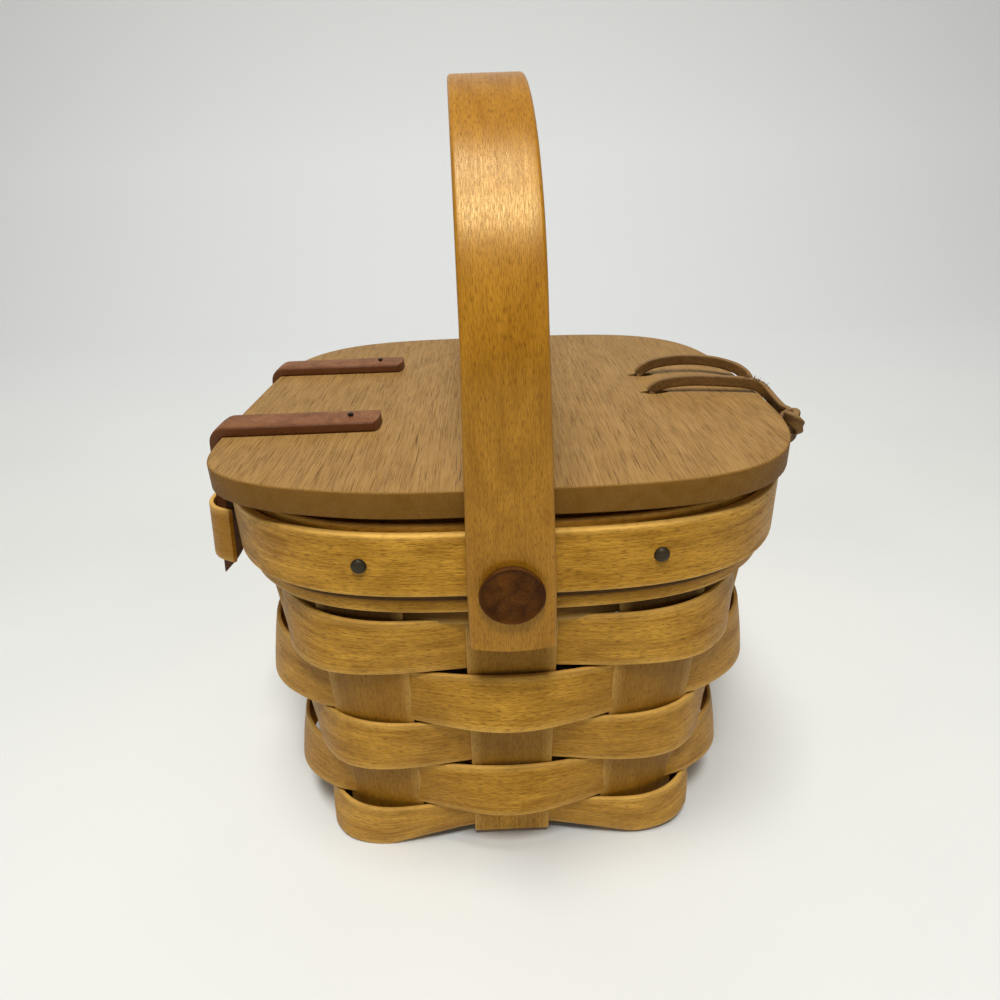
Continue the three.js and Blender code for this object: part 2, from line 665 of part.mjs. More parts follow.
// Handle rivets, each with a burr inside the rim
const burrDepth = RIM_HALF + INNER_BAND_IN - HEAD_GAP;
for (const [way, name] of [[-1, "front"], [1, "back"]]) {
  const outwards = new THREE.Vector3(0, way, 0);
  const seat = new THREE.Vector3(0, way * (HANDLE_FACE + HEAD_GAP), HANDLE_PIVOT_Z);
  const length = HANDLE_FACE + HEAD_GAP - burrDepth + BURR_THICKNESS + RIVET_TAIL;
  const plate = RIVET_HEAD_HEIGHT - RIVET_RIM_HEIGHT;
  const head = [
    [0, -length],
    [RIVET_SHANK_RADIUS, -length],
    [RIVET_SHANK_RADIUS, 0],
    [RIVET_HEAD_RADIUS, 0],
    [RIVET_HEAD_RADIUS, RIVET_HEAD_HEIGHT - RIVET_RIM_HEIGHT],
    [RIVET_HEAD_RADIUS - RIVET_RIM_WIDTH / 2, RIVET_HEAD_HEIGHT],
    [RIVET_HEAD_RADIUS - RIVET_RIM_WIDTH, plate],
    [0, plate],
  ];
  addPiece(`handle_rivet_${name}`, turned(head, 20, seat, outwards), RIVET_COPPER);
  const burrSeat = new THREE.Vector3(0, way * burrDepth, HANDLE_PIVOT_Z);
  const bore = RIVET_SHANK_RADIUS + HOLE_GAP;
  const ring = [
    [bore, -BURR_THICKNESS],
    [BURR_RADIUS, -BURR_THICKNESS],
    [BURR_RADIUS, 0],
    [bore, 0],
    [bore, -BURR_THICKNESS],
  ];
  addPiece(`rivet_burr_${name}`, turned(ring, 16, burrSeat, outwards), RIVET_COPPER);
}

// Lid board with two thong holes and two tack holes
const lidPlan = { half: LID_HALF, squareness: LID_SQUARENESS };
const lidReach = cornerReach(lidPlan);
const lidOutline = [];
const lidSteps = 18;
for (let side = 0; side < 4; side += 1) {
  for (let k = 0; k < lidSteps; k += 1) {
    const u = lidReach * Math.sin((Math.PI / 2) * ((2 * k) / lidSteps - 1));
    lidOutline.push(new THREE.Vector2(...planPoint(side, u, lidPlan, 0)));
  }
}
const lidGeometry = new THREE.ExtrudeGeometry(new THREE.Shape(lidOutline), {
  depth: LID_THICKNESS - 2 * LID_EDGE_ROUND,
  bevelSize: LID_EDGE_ROUND,
  bevelOffset: -LID_EDGE_ROUND,
  bevelThickness: LID_EDGE_ROUND,
  bevelSegments: 1,
});
lidGeometry.translate(0, 0, LID_BOTTOM_Z + LID_EDGE_ROUND);
const thongHoles = [THONG_HOLE_FRONT_Y, THONG_HOLE_BACK_Y].map((y) => {
  const from = new THREE.Vector3(THONG_HOLE_X, y, LID_BOTTOM_Z - 1);
  const to = new THREE.Vector3(THONG_HOLE_X, y, LID_TOP_Z + 1);
  return rod(THONG_RADIUS + THONG_HOLE_GAP, from, to, 12);
});
const strapTopZ = LID_TOP_Z + STRAP_STANDOFF + STRAP_THICKNESS;
const tacks = [[-1, "front"], [1, "back"]].map(([way, name]) => ({
  name: `strap_tack_${name}`,
  seat: new THREE.Vector3(-STRAP_REACH - TACK_INSET, way * STRAP_OFFSET, strapTopZ + HEAD_GAP),
  length: HEAD_GAP + STRAP_THICKNESS + STRAP_STANDOFF + LID_THICKNESS - TACK_SHORT,
}));
const tackDrills = tacks.map((tack) => {
  const from = tack.seat.clone().add(new THREE.Vector3(0, 0, 2));
  const to = tack.seat.clone().sub(new THREE.Vector3(0, 0, tack.length + HEAD_GAP));
  return rod(TACK_SHANK_RADIUS + HOLE_GAP, from, to, 8);
});
addPiece("lid_board", drill(lidGeometry, [...thongHoles, ...tackDrills]), LID_WOOD);

// Hinge straps: the half on the lid, the half on the rim, and the tack of each
const strapWallX = strapFaceX - STRAP_THICKNESS / 2;
const strapMiddleZ = strapTopZ - STRAP_THICKNESS / 2;
function strapLidLine() {
  const bend = [strapWallX + STRAP_BEND_RADIUS, strapMiddleZ - STRAP_BEND_RADIUS];
  const end = { at: [-STRAP_REACH - STRAP_END_CURVE, strapMiddleZ], normal: [0, 1], run: STRAP_END_CURVE };
  const line = [end, { at: [bend[0], strapMiddleZ], normal: [0, 1] }];
  const steps = 5;
  for (let k = 1; k <= steps; k += 1) {
    const angle = (k / steps) * (Math.PI / 2);
    const normal = [-Math.sin(angle), Math.cos(angle)];
    const at = [bend[0] + STRAP_BEND_RADIUS * normal[0], bend[1] + STRAP_BEND_RADIUS * normal[1]];
    line.push({ at, normal });
  }
  line.push({ at: [strapWallX, HINGE_Z + HINGE_FLEX_GAP], normal: [-1, 0] });
  return line;
}
function strapRimLine() {
  const top = { at: [strapWallX, HINGE_Z - HINGE_FLEX_GAP], normal: [-1, 0] };
  const tip = { at: [strapWallX, STRAP_TIP_Z + STRAP_END_CURVE], normal: [-1, 0], run: -STRAP_END_CURVE };
  return [top, { ...tip, at: [strapWallX, KEEPER_BOTTOM_Z], run: 0 }, tip];
}
const strapHalves = [
  ["lid", strapLidLine(), tackDrills],
  ["rim", strapRimLine(), nailDrills],
];
for (const [way, name] of [[-1, "front"], [1, "back"]]) {
  const toSpace = (x, z, y) => [x, way * STRAP_OFFSET + y, z];
  for (const [half, line, drills] of strapHalves) {
    const sized = line.map((place) => ({ ...place, width: STRAP_WIDTH, thickness: STRAP_THICKNESS }));
    addPiece(`hinge_strap_${name}_${half}`, drill(bentStrip(sized, toSpace), drills), STRAP_LEATHER);
  }
}
for (const tack of tacks) {
  const profile = [
    [0, -tack.length],
    [TACK_SHANK_RADIUS, -tack.length],
    [TACK_SHANK_RADIUS, 0],
    [TACK_HEAD_RADIUS, 0],
    [TACK_HEAD_RADIUS * 0.6, TACK_HEAD_HEIGHT * 0.8],
    [0, TACK_HEAD_HEIGHT],
  ];
  addPiece(tack.name, turned(profile, 8, tack.seat, new THREE.Vector3(0, 0, 1)), NAIL_STEEL);
}

// Keeper strip over the strap tails
const keeper = new THREE.BoxGeometry(KEEPER_THICKNESS, 2 * KEEPER_HALF_LENGTH, KEEPER_HEIGHT);
keeper.translate((keeperX + keeperFaceX) / 2, 0, (KEEPER_TOP_Z + KEEPER_BOTTOM_Z) / 2);
addPiece("hinge_keeper", drill(keeper, nailDrills), MAPLE);

// Pull thong: from the knot over the lid, down one hole, up the other and back to the knot
function besideThong(place) {
  const [out, y, rise] = place;
  return new THREE.Vector3(THONG_HOLE_X + out, y, LID_TOP_Z + rise);
}
const thongRoute = [...THONG_FRONT_ROUTE, ...THONG_UNDER_ROUTE, ...THONG_BACK_ROUTE];
const thongPath = new THREE.CatmullRomCurve3(thongRoute.map(besideThong), false, "centripetal");
const thongSection = new THREE.Shape();
const thongSides = 6;
for (let k = 0; k < thongSides; k += 1) {
  const angle = (k / thongSides) * 2 * Math.PI;
  const corner = [THONG_RADIUS * Math.cos(angle), THONG_RADIUS * Math.sin(angle)];
  if (k === 0) {
    thongSection.moveTo(...corner);
  } else {
    thongSection.lineTo(...corner);
  }
}
const thong = new THREE.ExtrudeGeometry(thongSection, {
  steps: 90,
  extrudePath: thongPath,
});
addPiece("pull_thong", thong, THONG_LEATHER);
const knotGeometry = new THREE.SphereGeometry(KNOT_RADIUS, 12, 8);
const knot = besideThong([KNOT_OUT, KNOT_Y, -KNOT_DROP]);
knotGeometry.translate(knot.x, knot.y, knot.z);
addPiece("thong_knot", knotGeometry, THONG_LEATHER);

export default basket;
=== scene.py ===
"""Looks of a small square splint basket with a board lid, leather hinge straps and a swing handle.

Metres, +Z up, front towards -Y. Every strip, board, strap and fastener is a surface worked out with numpy
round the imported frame, and each finish is a node material.
"""

import logging
import math
from dataclasses import dataclass, field
from enum import Enum
from typing import ClassVar

import bpy
import numpy as np
from mathutils import Matrix, Vector


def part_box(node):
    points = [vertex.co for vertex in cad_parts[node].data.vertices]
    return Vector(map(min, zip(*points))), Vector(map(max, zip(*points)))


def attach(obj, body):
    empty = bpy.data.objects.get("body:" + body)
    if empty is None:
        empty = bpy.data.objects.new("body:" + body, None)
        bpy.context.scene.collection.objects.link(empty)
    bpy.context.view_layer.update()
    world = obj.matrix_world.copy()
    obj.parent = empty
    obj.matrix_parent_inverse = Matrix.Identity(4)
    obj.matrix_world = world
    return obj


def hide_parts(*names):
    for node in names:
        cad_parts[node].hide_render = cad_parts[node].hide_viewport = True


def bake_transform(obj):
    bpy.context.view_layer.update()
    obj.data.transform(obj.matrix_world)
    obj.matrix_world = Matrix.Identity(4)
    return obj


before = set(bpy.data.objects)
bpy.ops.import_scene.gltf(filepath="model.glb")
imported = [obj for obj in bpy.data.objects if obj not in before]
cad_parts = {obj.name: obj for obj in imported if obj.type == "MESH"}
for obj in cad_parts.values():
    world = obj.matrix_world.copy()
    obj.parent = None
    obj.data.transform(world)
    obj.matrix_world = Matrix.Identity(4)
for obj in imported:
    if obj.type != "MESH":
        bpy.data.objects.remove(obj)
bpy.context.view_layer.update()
MM = 0.001
STRIP_MAP = "strip"
SHARP_ANGLE = math.radians(38)
EDGE_FADE = 1.6 * MM
BUMP_DISTANCE = 0.2 * MM
LOG = logging.getLogger("splint_basket")

Array = np.ndarray


class Body(Enum):
    """Moving bodies of the frame."""

    BASKET = "basket"
    HANDLE = "handle"
    LID = "lid"


class Slot(Enum):
    """Material slots of the record."""

    SPLINT = "splint_wood"
    HANDLE = "handle_wood"
    LID = "lid_wood"
    STRAP = "strap_leather"
    THONG = "thong_leather"
    NAIL = "nail_steel"
    RIVET = "rivet_copper"


class Side(Enum):
    """Sides of the basket, each a quarter turn on from the one before."""

    FRONT = 0
    RIGHT = 1
    BACK = 2
    LEFT = 3


@dataclass(frozen=True)
class Colour:
    """sRGB colour, each value from 0 to 255."""

    red: float
    green: float
    blue: float

    def linear(self) -> tuple[float, float, float, float]:
        """Turns the colour into a scene-linear one by the sRGB curve.

        Returns:
            Red, green and blue, with full alpha.
        """
        shares = [value / 255 for value in (self.red, self.green, self.blue)]
        lit = [s / 12.92 if s <= 0.04045 else ((s + 0.055) / 1.055) ** 2.4 for s in shares]
        return (lit[0], lit[1], lit[2], 1.0)


# Node helpers and shared effects

STREAK_STRETCH = (0.12, 0.3, 0.3)
BLOTCH_STRETCH = (70.0, 190.0, 190.0)
FLECK_RANGE = (0.51, 0.66)
STREAK_RANGE = (0.34, 0.66)
BLOTCH_RANGE = (0.32, 0.68)
GRAIN_SCALE = 1.6
PATCH_SCALE = 0.14
GRAIN_RANGE = (0.3, 0.7)
PIT_RANGE = (0.1, 0.7)
PATCH_RANGE = (0.33, 0.67)


class Graph:
    """Adds nodes to a node tree and joins their sockets."""

    def __init__(self, tree: bpy.types.NodeTree) -> None:
        """Keeps the tree.

        Args:
            tree: the node tree to add to.
        """
        self.tree = tree

    def node(self, kind: str, inputs: dict | None = None, **settings: object) -> bpy.types.Node:
        """Adds one node.

        Args:
            kind: Blender's name of the node type.
            inputs: input name or index to a value or an output socket.
            settings: properties of the node.

        Returns:
            The new node.
        """
        made = self.tree.nodes.new(kind)
        for key, value in settings.items():
            setattr(made, key, value)
        for key, value in (inputs or {}).items():
            if isinstance(value, bpy.types.NodeSocket):
                self.tree.links.new(value, made.inputs[key])
            else:
                made.inputs[key].default_value = value
        return made

    def math(self, operation: str, first: object, second: object = 0.0) -> bpy.types.NodeSocket:
        """Returns the result of one Math node on two values or sockets."""
        return self.node("ShaderNodeMath", {0: first, 1: second}, operation=operation).outputs[0]

    def mix(self, share: object, first: object, second: object, blend: str = "MIX") -> bpy.types.NodeSocket:
        """Returns a colour mixed from two, by a share that is a value or a socket."""
        made = self.node("ShaderNodeMix", {0: share, 6: first, 7: second}, data_type="RGBA", blend_type=blend)
        return made.outputs[2]

    def remap(self, value: object, low: float, high: float, start: float = 0.0, end: float = 1.0) -> object:
        """Returns a value moved from the range low to high into the range start to end, and clamped."""
        inputs = {"Value": value, "From Min": low, "From Max": high, "To Min": start, "To Max": end}
        return self.node("ShaderNodeMapRange", inputs).outputs["Result"]

    def noise(self, vector: object, scale: float, detail: float = 2.0, distortion: float = 0.0) -> object:
        """Returns the value of a noise texture at a vector."""
        inputs = {"Vector": vector, "Scale": scale, "Detail": detail, "Distortion": distortion}
        return self.node("ShaderNodeTexNoise", inputs).outputs["Fac"]

    def stretched(self, vector: object, scale: tuple[float, float, float]) -> object:
        """Returns a vector scaled along each axis."""
        inputs = {"Vector": vector, "Scale": scale}
        return self.node("ShaderNodeMapping", inputs, vector_type="POINT").outputs["Vector"]


def new_group(name: str, inputs: dict[str, str], outputs: list[str]) -> tuple[Graph, dict, bpy.types.Node]:
    """Starts a shader node group.

    Args:
        name: the group's name.
        inputs: input name to socket type.
        outputs: names of the value outputs.

    Returns:
        The group's graph, its input sockets by name, and its output node.
    """
    tree = bpy.data.node_groups.new(name, "ShaderNodeTree")
    for label, kind in inputs.items():
        tree.interface.new_socket(label, in_out="INPUT", socket_type=kind)
    for label in outputs:
        tree.interface.new_socket(label, in_out="OUTPUT", socket_type="NodeSocketFloat")
    graph = Graph(tree)
    entry = graph.node("NodeGroupInput")
    leave = graph.node("NodeGroupOutput")
    return graph, {label: entry.outputs[label] for label in inputs}, leave


def wood_figure_group() -> bpy.types.NodeTree:
    """Builds the wood figure: short flecks, long streaks and soft blotches on a plane of wood.

    The vector is in metres, along the grain and then across it. Noise is divided by a length along and a
    width across, so that each figure is stretched along the grain.

    Returns:
        The node group.
    """
    number = "NodeSocketFloat"
    inputs = {"Vector": "NodeSocketVector", "Fleck Length": number, "Fleck Width": number}
    graph, given, leave = new_group("wood_figure", inputs, ["Flecks", "Streaks", "Blotches"])
    parts = graph.node("ShaderNodeSeparateXYZ", {"Vector": given["Vector"]})
    along = graph.math("DIVIDE", parts.outputs["X"], given["Fleck Length"])
    across = graph.math("DIVIDE", parts.outputs["Y"], given["Fleck Width"])
    through = graph.math("DIVIDE", parts.outputs["Z"], given["Fleck Width"])
    fine = graph.node("ShaderNodeCombineXYZ", {"X": along, "Y": across, "Z": through})
    flecks = graph.noise(fine.outputs["Vector"], 1.0, detail=2.0, distortion=0.3)
    drawn = graph.stretched(fine.outputs["Vector"], STREAK_STRETCH)
    streaks = graph.noise(drawn, 1.0, detail=4.0, distortion=0.2)
    blotches = graph.noise(graph.stretched(given["Vector"], BLOTCH_STRETCH), 1.0, detail=4.0, distortion=0.6)
    links = graph.tree.links
    links.new(graph.remap(flecks, *FLECK_RANGE), leave.inputs["Flecks"])
    links.new(graph.remap(streaks, *STREAK_RANGE), leave.inputs["Streaks"])
    links.new(graph.remap(blotches, *BLOTCH_RANGE), leave.inputs["Blotches"])
    return graph.tree


def mottle_group() -> bpy.types.NodeTree:
    """Builds a mottled surface: fine grain, pits and slow patches, for leather and metal.

    Returns:
        The node group.
    """
    inputs = {"Vector": "NodeSocketVector", "Scale": "NodeSocketFloat"}
    graph, given, leave = new_group("surface_mottle", inputs, ["Grain", "Pits", "Patches"])
    sizes = {0: given["Vector"], "Scale": given["Scale"]}
    vector = graph.node("ShaderNodeVectorMath", sizes, operation="SCALE").outputs["Vector"]
    cells = graph.node("ShaderNodeTexVoronoi", {"Vector": vector, "Scale": 1.0}, feature="F1")
    grain = graph.noise(vector, GRAIN_SCALE, detail=3.0)
    patches = graph.noise(vector, PATCH_SCALE, detail=3.0, distortion=0.4)
    links = graph.tree.links
    links.new(graph.remap(grain, *GRAIN_RANGE), leave.inputs["Grain"])
    links.new(graph.remap(cells.outputs["Distance"], *PIT_RANGE), leave.inputs["Pits"])
    links.new(graph.remap(patches, *PATCH_RANGE), leave.inputs["Patches"])
    return graph.tree


def new_material(name: str) -> tuple[bpy.types.Material, Graph, bpy.types.Node]:
    """Starts a material.

    Args:
        name: the material's name.

    Returns:
        The material, its graph and its Principled BSDF node.
    """
    material = bpy.data.materials.new(name)
    material.use_nodes = True
    graph = Graph(material.node_tree)
    return material, graph, material.node_tree.nodes["Principled BSDF"]


# Finishes


@dataclass(frozen=True)
class WoodFinish:
    """Oiled wood with flecks, streaks and blotches along the grain.

    A strip takes its grain from its own map, and a board takes it from its place.
    """

    name: str
    light: Colour
    deep: Colour
    fleck: Colour
    edge: Colour
    fleck_length: float
    fleck_width: float
    fleck_strength: float
    edge_strength: float
    roughness: tuple[float, float]
    bump: float
    board: bool = False
    shine: float = 0.22
    fleck_cut: float = 0.0
    SHEEN: ClassVar[Colour] = Colour(255, 222, 160)
    # Near-black colour of painted shade in gaps and creases
    CREVICE_SHADE: ClassVar[Colour] = Colour(40, 20, 4)
    STREAK_SHARE: ClassVar[float] = 0.4
    BLOTCH_SHARE: ClassVar[float] = 0.6
    DEEPEST: ClassVar[float] = 0.8
    # Share of the near-black painted shade at a tone of 2
    DARKEST_SHADE: ClassVar[float] = 0.9
    EDGE_PATCH_SHARE: ClassVar[float] = 0.7
    EDGE_FLECKS: ClassVar[float] = 0.2

    def grain_vector(self, graph: Graph) -> object:
        """Finds where a point lies on the grain.

        Args:
            graph: the material's graph.

        Returns:
            The vector along and across the grain.
        """
        if not self.board:
            return graph.node("ShaderNodeUVMap", uv_map=STRIP_MAP).outputs["UV"]
        place = graph.node("ShaderNodeTexCoord").outputs["Object"]
        parts = graph.node("ShaderNodeSeparateXYZ", {"Vector": place})
        turned = {"X": parts.outputs["Y"], "Y": parts.outputs["X"], "Z": parts.outputs["Z"]}
        return graph.node("ShaderNodeCombineXYZ", turned).outputs["Vector"]

    def material(self, figure: bpy.types.NodeTree) -> bpy.types.Material:
        """Builds the material.

        Args:
            figure: the wood figure group.

        Returns:
            The new material.
        """
        material, graph, shader = new_material(self.name)
        placed = self.place_figure(graph, figure)
        flecks, streaks, blotches = (placed.outputs[k] for k in ("Flecks", "Streaks", "Blotches"))
        flecks = graph.remap(flecks, self.fleck_cut, 1.0)
        streaked = graph.math("MULTIPLY", streaks, self.STREAK_SHARE)
        depth = graph.math("ADD", streaked, graph.math("MULTIPLY", blotches, self.BLOTCH_SHARE))
        colour = graph.mix(depth, self.light.linear(), self.deep.linear())
        # Tone deepens the colour: up to 1 by random depth and painted shade, and from 1 to 2 by painted shade
        # towards the near-black crevice colour
        tone = graph.node("ShaderNodeAttribute", attribute_name="tone").outputs["Fac"]
        colour = graph.mix(graph.remap(tone, 0.0, 1.0, 0.0, self.DEEPEST), colour, self.deep.linear())
        colour = graph.mix(graph.remap(tone, 1.0, 2.0, 0.0, self.DARKEST_SHADE), colour, self.CREVICE_SHADE.linear())
        # Edge colour in patches on the rounded edges: a painted highlight on the splint, a darker edge on the
        # handle and the lid
        edge = graph.node("ShaderNodeAttribute", attribute_name="edge").outputs["Fac"]
        patchy_edge = graph.remap(blotches, 0.0, 1.0, self.edge_strength, self.edge_strength * self.EDGE_PATCH_SHARE)
        colour = graph.mix(graph.math("MULTIPLY", edge, patchy_edge), colour, self.edge.linear())
        shown = graph.math("MULTIPLY", flecks, self.fleck_strength)
        if not self.board:
            shown = graph.math("MULTIPLY", shown, graph.remap(edge, 0.0, 1.0, 1.0, self.EDGE_FLECKS))
        colour = graph.mix(shown, colour, self.fleck.linear())
        rough = graph.remap(streaks, 0.0, 1.0, self.roughness[0], self.roughness[1])
        height = graph.math("SUBTRACT", streaked, flecks)
        raised = {"Strength": self.bump, "Distance": BUMP_DISTANCE, "Height": height}
        bump = graph.node("ShaderNodeBump", raised)
        links = graph.tree.links
        links.new(colour, shader.inputs["Base Color"])
        links.new(rough, shader.inputs["Roughness"])
        links.new(bump.outputs["Normal"], shader.inputs["Normal"])
        shader.inputs["Specular Tint"].default_value = self.SHEEN.linear()
        shader.inputs["Specular IOR Level"].default_value = self.shine
        return material

    def place_figure(self, graph: Graph, figure: bpy.types.NodeTree) -> bpy.types.Node:
        """Places the wood figure group in a material, with this finish's own values.

        Args:
            graph: the material's graph.
            figure: the wood figure group.

        Returns:
            The group's node.
        """
        placed = graph.node("ShaderNodeGroup", node_tree=figure)
        graph.tree.links.new(self.grain_vector(graph), placed.inputs["Vector"])
        placed.inputs["Fleck Length"].default_value = self.fleck_length
        placed.inputs["Fleck Width"].default_value = self.fleck_width
        return placed


@dataclass(frozen=True)
class MottledFinish:
    """Leather or dull metal: two colours in patches, with fine grain and pits."""

    name: str
    light: Colour
    deep: Colour
    edge: Colour
    scale: float
    metallic: float
    roughness: tuple[float, float]
    bump: float
    shine: float = 0.2
    PATCH_SHARE: ClassVar[float] = 0.65
    GRAIN_SHARE: ClassVar[float] = 0.35
    EDGE_STRENGTH: ClassVar[float] = 0.8
    PIT_SHARE: ClassVar[float] = 0.7

    def material(self, mottle: bpy.types.NodeTree) -> bpy.types.Material:
        """Builds the material.

        Args:
            mottle: the mottled surface group.

        Returns:
            The new material.
        """
        material, graph, shader = new_material(self.name)
        placed = graph.node("ShaderNodeGroup", node_tree=mottle)
        place = graph.node("ShaderNodeTexCoord").outputs["Object"]
        graph.tree.links.new(place, placed.inputs["Vector"])
        placed.inputs["Scale"].default_value = self.scale
        grain, pits, patches = (placed.outputs[k] for k in ("Grain", "Pits", "Patches"))
        patched = graph.math("MULTIPLY", patches, self.PATCH_SHARE)
        share = graph.math("ADD", patched, graph.math("MULTIPLY", grain, self.GRAIN_SHARE))
        colour = graph.mix(share, self.light.linear(), self.deep.linear())
        edge = graph.node("ShaderNodeAttribute", attribute_name="edge").outputs["Fac"]
        colour = graph.mix(graph.math("MULTIPLY", edge, self.EDGE_STRENGTH), colour, self.edge.linear())
        rough = graph.remap(grain, 0.0, 1.0, self.roughness[0], self.roughness[1])
        height = graph.math("ADD", graph.math("MULTIPLY", pits, self.PIT_SHARE), grain)
        raised = {"Strength": self.bump, "Distance": BUMP_DISTANCE, "Height": height}
        bump = graph.node("ShaderNodeBump", raised)
        links = graph.tree.links
        links.new(colour, shader.inputs["Base Color"])
        links.new(rough, shader.inputs["Roughness"])
        links.new(bump.outputs["Normal"], shader.inputs["Normal"])
        shader.inputs["Metallic"].default_value = self.metallic
        shader.inputs["Specular IOR Level"].default_value = self.shine
        return material


class Finishes:
    """Every material of the basket, by the record's slot."""

    # The splint's pale edge colour is a painted highlight along the rounded edges of every strip
    SPLINT = WoodFinish(
        name="splint_wood", light=Colour(224, 168, 62), deep=Colour(146, 98, 20), fleck=Colour(96, 58, 8),
        edge=Colour(240, 196, 112), fleck_length=2.0 * MM, fleck_width=0.2 * MM, fleck_strength=0.68,
        edge_strength=0.5, roughness=(0.38, 0.55), bump=0.3,
    )
    HANDLE = WoodFinish(
        name="handle_wood", light=Colour(190, 134, 39), deep=Colour(148, 96, 14), fleck=Colour(96, 55, 5),
        edge=Colour(160, 106, 34), fleck_length=1.6 * MM, fleck_width=0.17 * MM, fleck_strength=0.72,
        edge_strength=0.3, roughness=(0.29, 0.38), bump=0.12, shine=0.6,
    )
    LID = WoodFinish(
        name="lid_wood", light=Colour(170, 132, 77), deep=Colour(142, 106, 57), fleck=Colour(70, 42, 16),
        edge=Colour(112, 72, 6), fleck_length=9.0 * MM, fleck_width=0.15 * MM, fleck_strength=0.7,
        edge_strength=0.92, roughness=(0.5, 0.66), bump=0.4, board=True, fleck_cut=0.3,
    )
    STRAP = MottledFinish(
        name="strap_leather", light=Colour(142, 92, 54), deep=Colour(98, 58, 28), edge=Colour(84, 46, 18),
        scale=1300.0, metallic=0.0, roughness=(0.45, 0.62), bump=0.25,
    )
    THONG = MottledFinish(
        name="thong_leather", light=Colour(114, 82, 40), deep=Colour(80, 55, 24), edge=Colour(140, 108, 66),
        scale=900.0, metallic=0.0, roughness=(0.5, 0.7), bump=0.35,
    )
    NAIL = MottledFinish(
        name="nail_steel", light=Colour(62, 54, 36), deep=Colour(38, 33, 22), edge=Colour(30, 26, 18),
        scale=1500.0, metallic=0.3, roughness=(0.4, 0.55), bump=0.2,
    )
    RIVET = MottledFinish(
        name="rivet_copper", light=Colour(108, 62, 14), deep=Colour(40, 18, 2), edge=Colour(64, 33, 5),
        scale=1500.0, metallic=0.0, roughness=(0.42, 0.6), bump=0.3, shine=0.07,
    )

    def __init__(self) -> None:
        """Builds the shared effects and then each material."""
        figure = wood_figure_group()
        mottle = mottle_group()
        self.by_slot: dict[Slot, bpy.types.Material] = {
            Slot.SPLINT: self.SPLINT.material(figure),
            Slot.HANDLE: self.HANDLE.material(figure),
            Slot.LID: self.LID.material(figure),
            Slot.STRAP: self.STRAP.material(mottle),
            Slot.THONG: self.THONG.material(mottle),
            Slot.NAIL: self.NAIL.material(mottle),
            Slot.RIVET: self.RIVET.material(mottle),
        }


# Surfaces

LATHE_TONE = 0.4
STEEP_AXIS = 0.9
# Where a stretch of lace is so steep that its sideways direction is shorter than this, another one is used
LEAST_SIDE = 0.35
STEEP_SIDE = (0.0, -1.0, 0.2)
LACE_ROUNDING = 0.3
LACE_EDGE_START = 0.4
LACE_EDGE_GAIN = 10.0


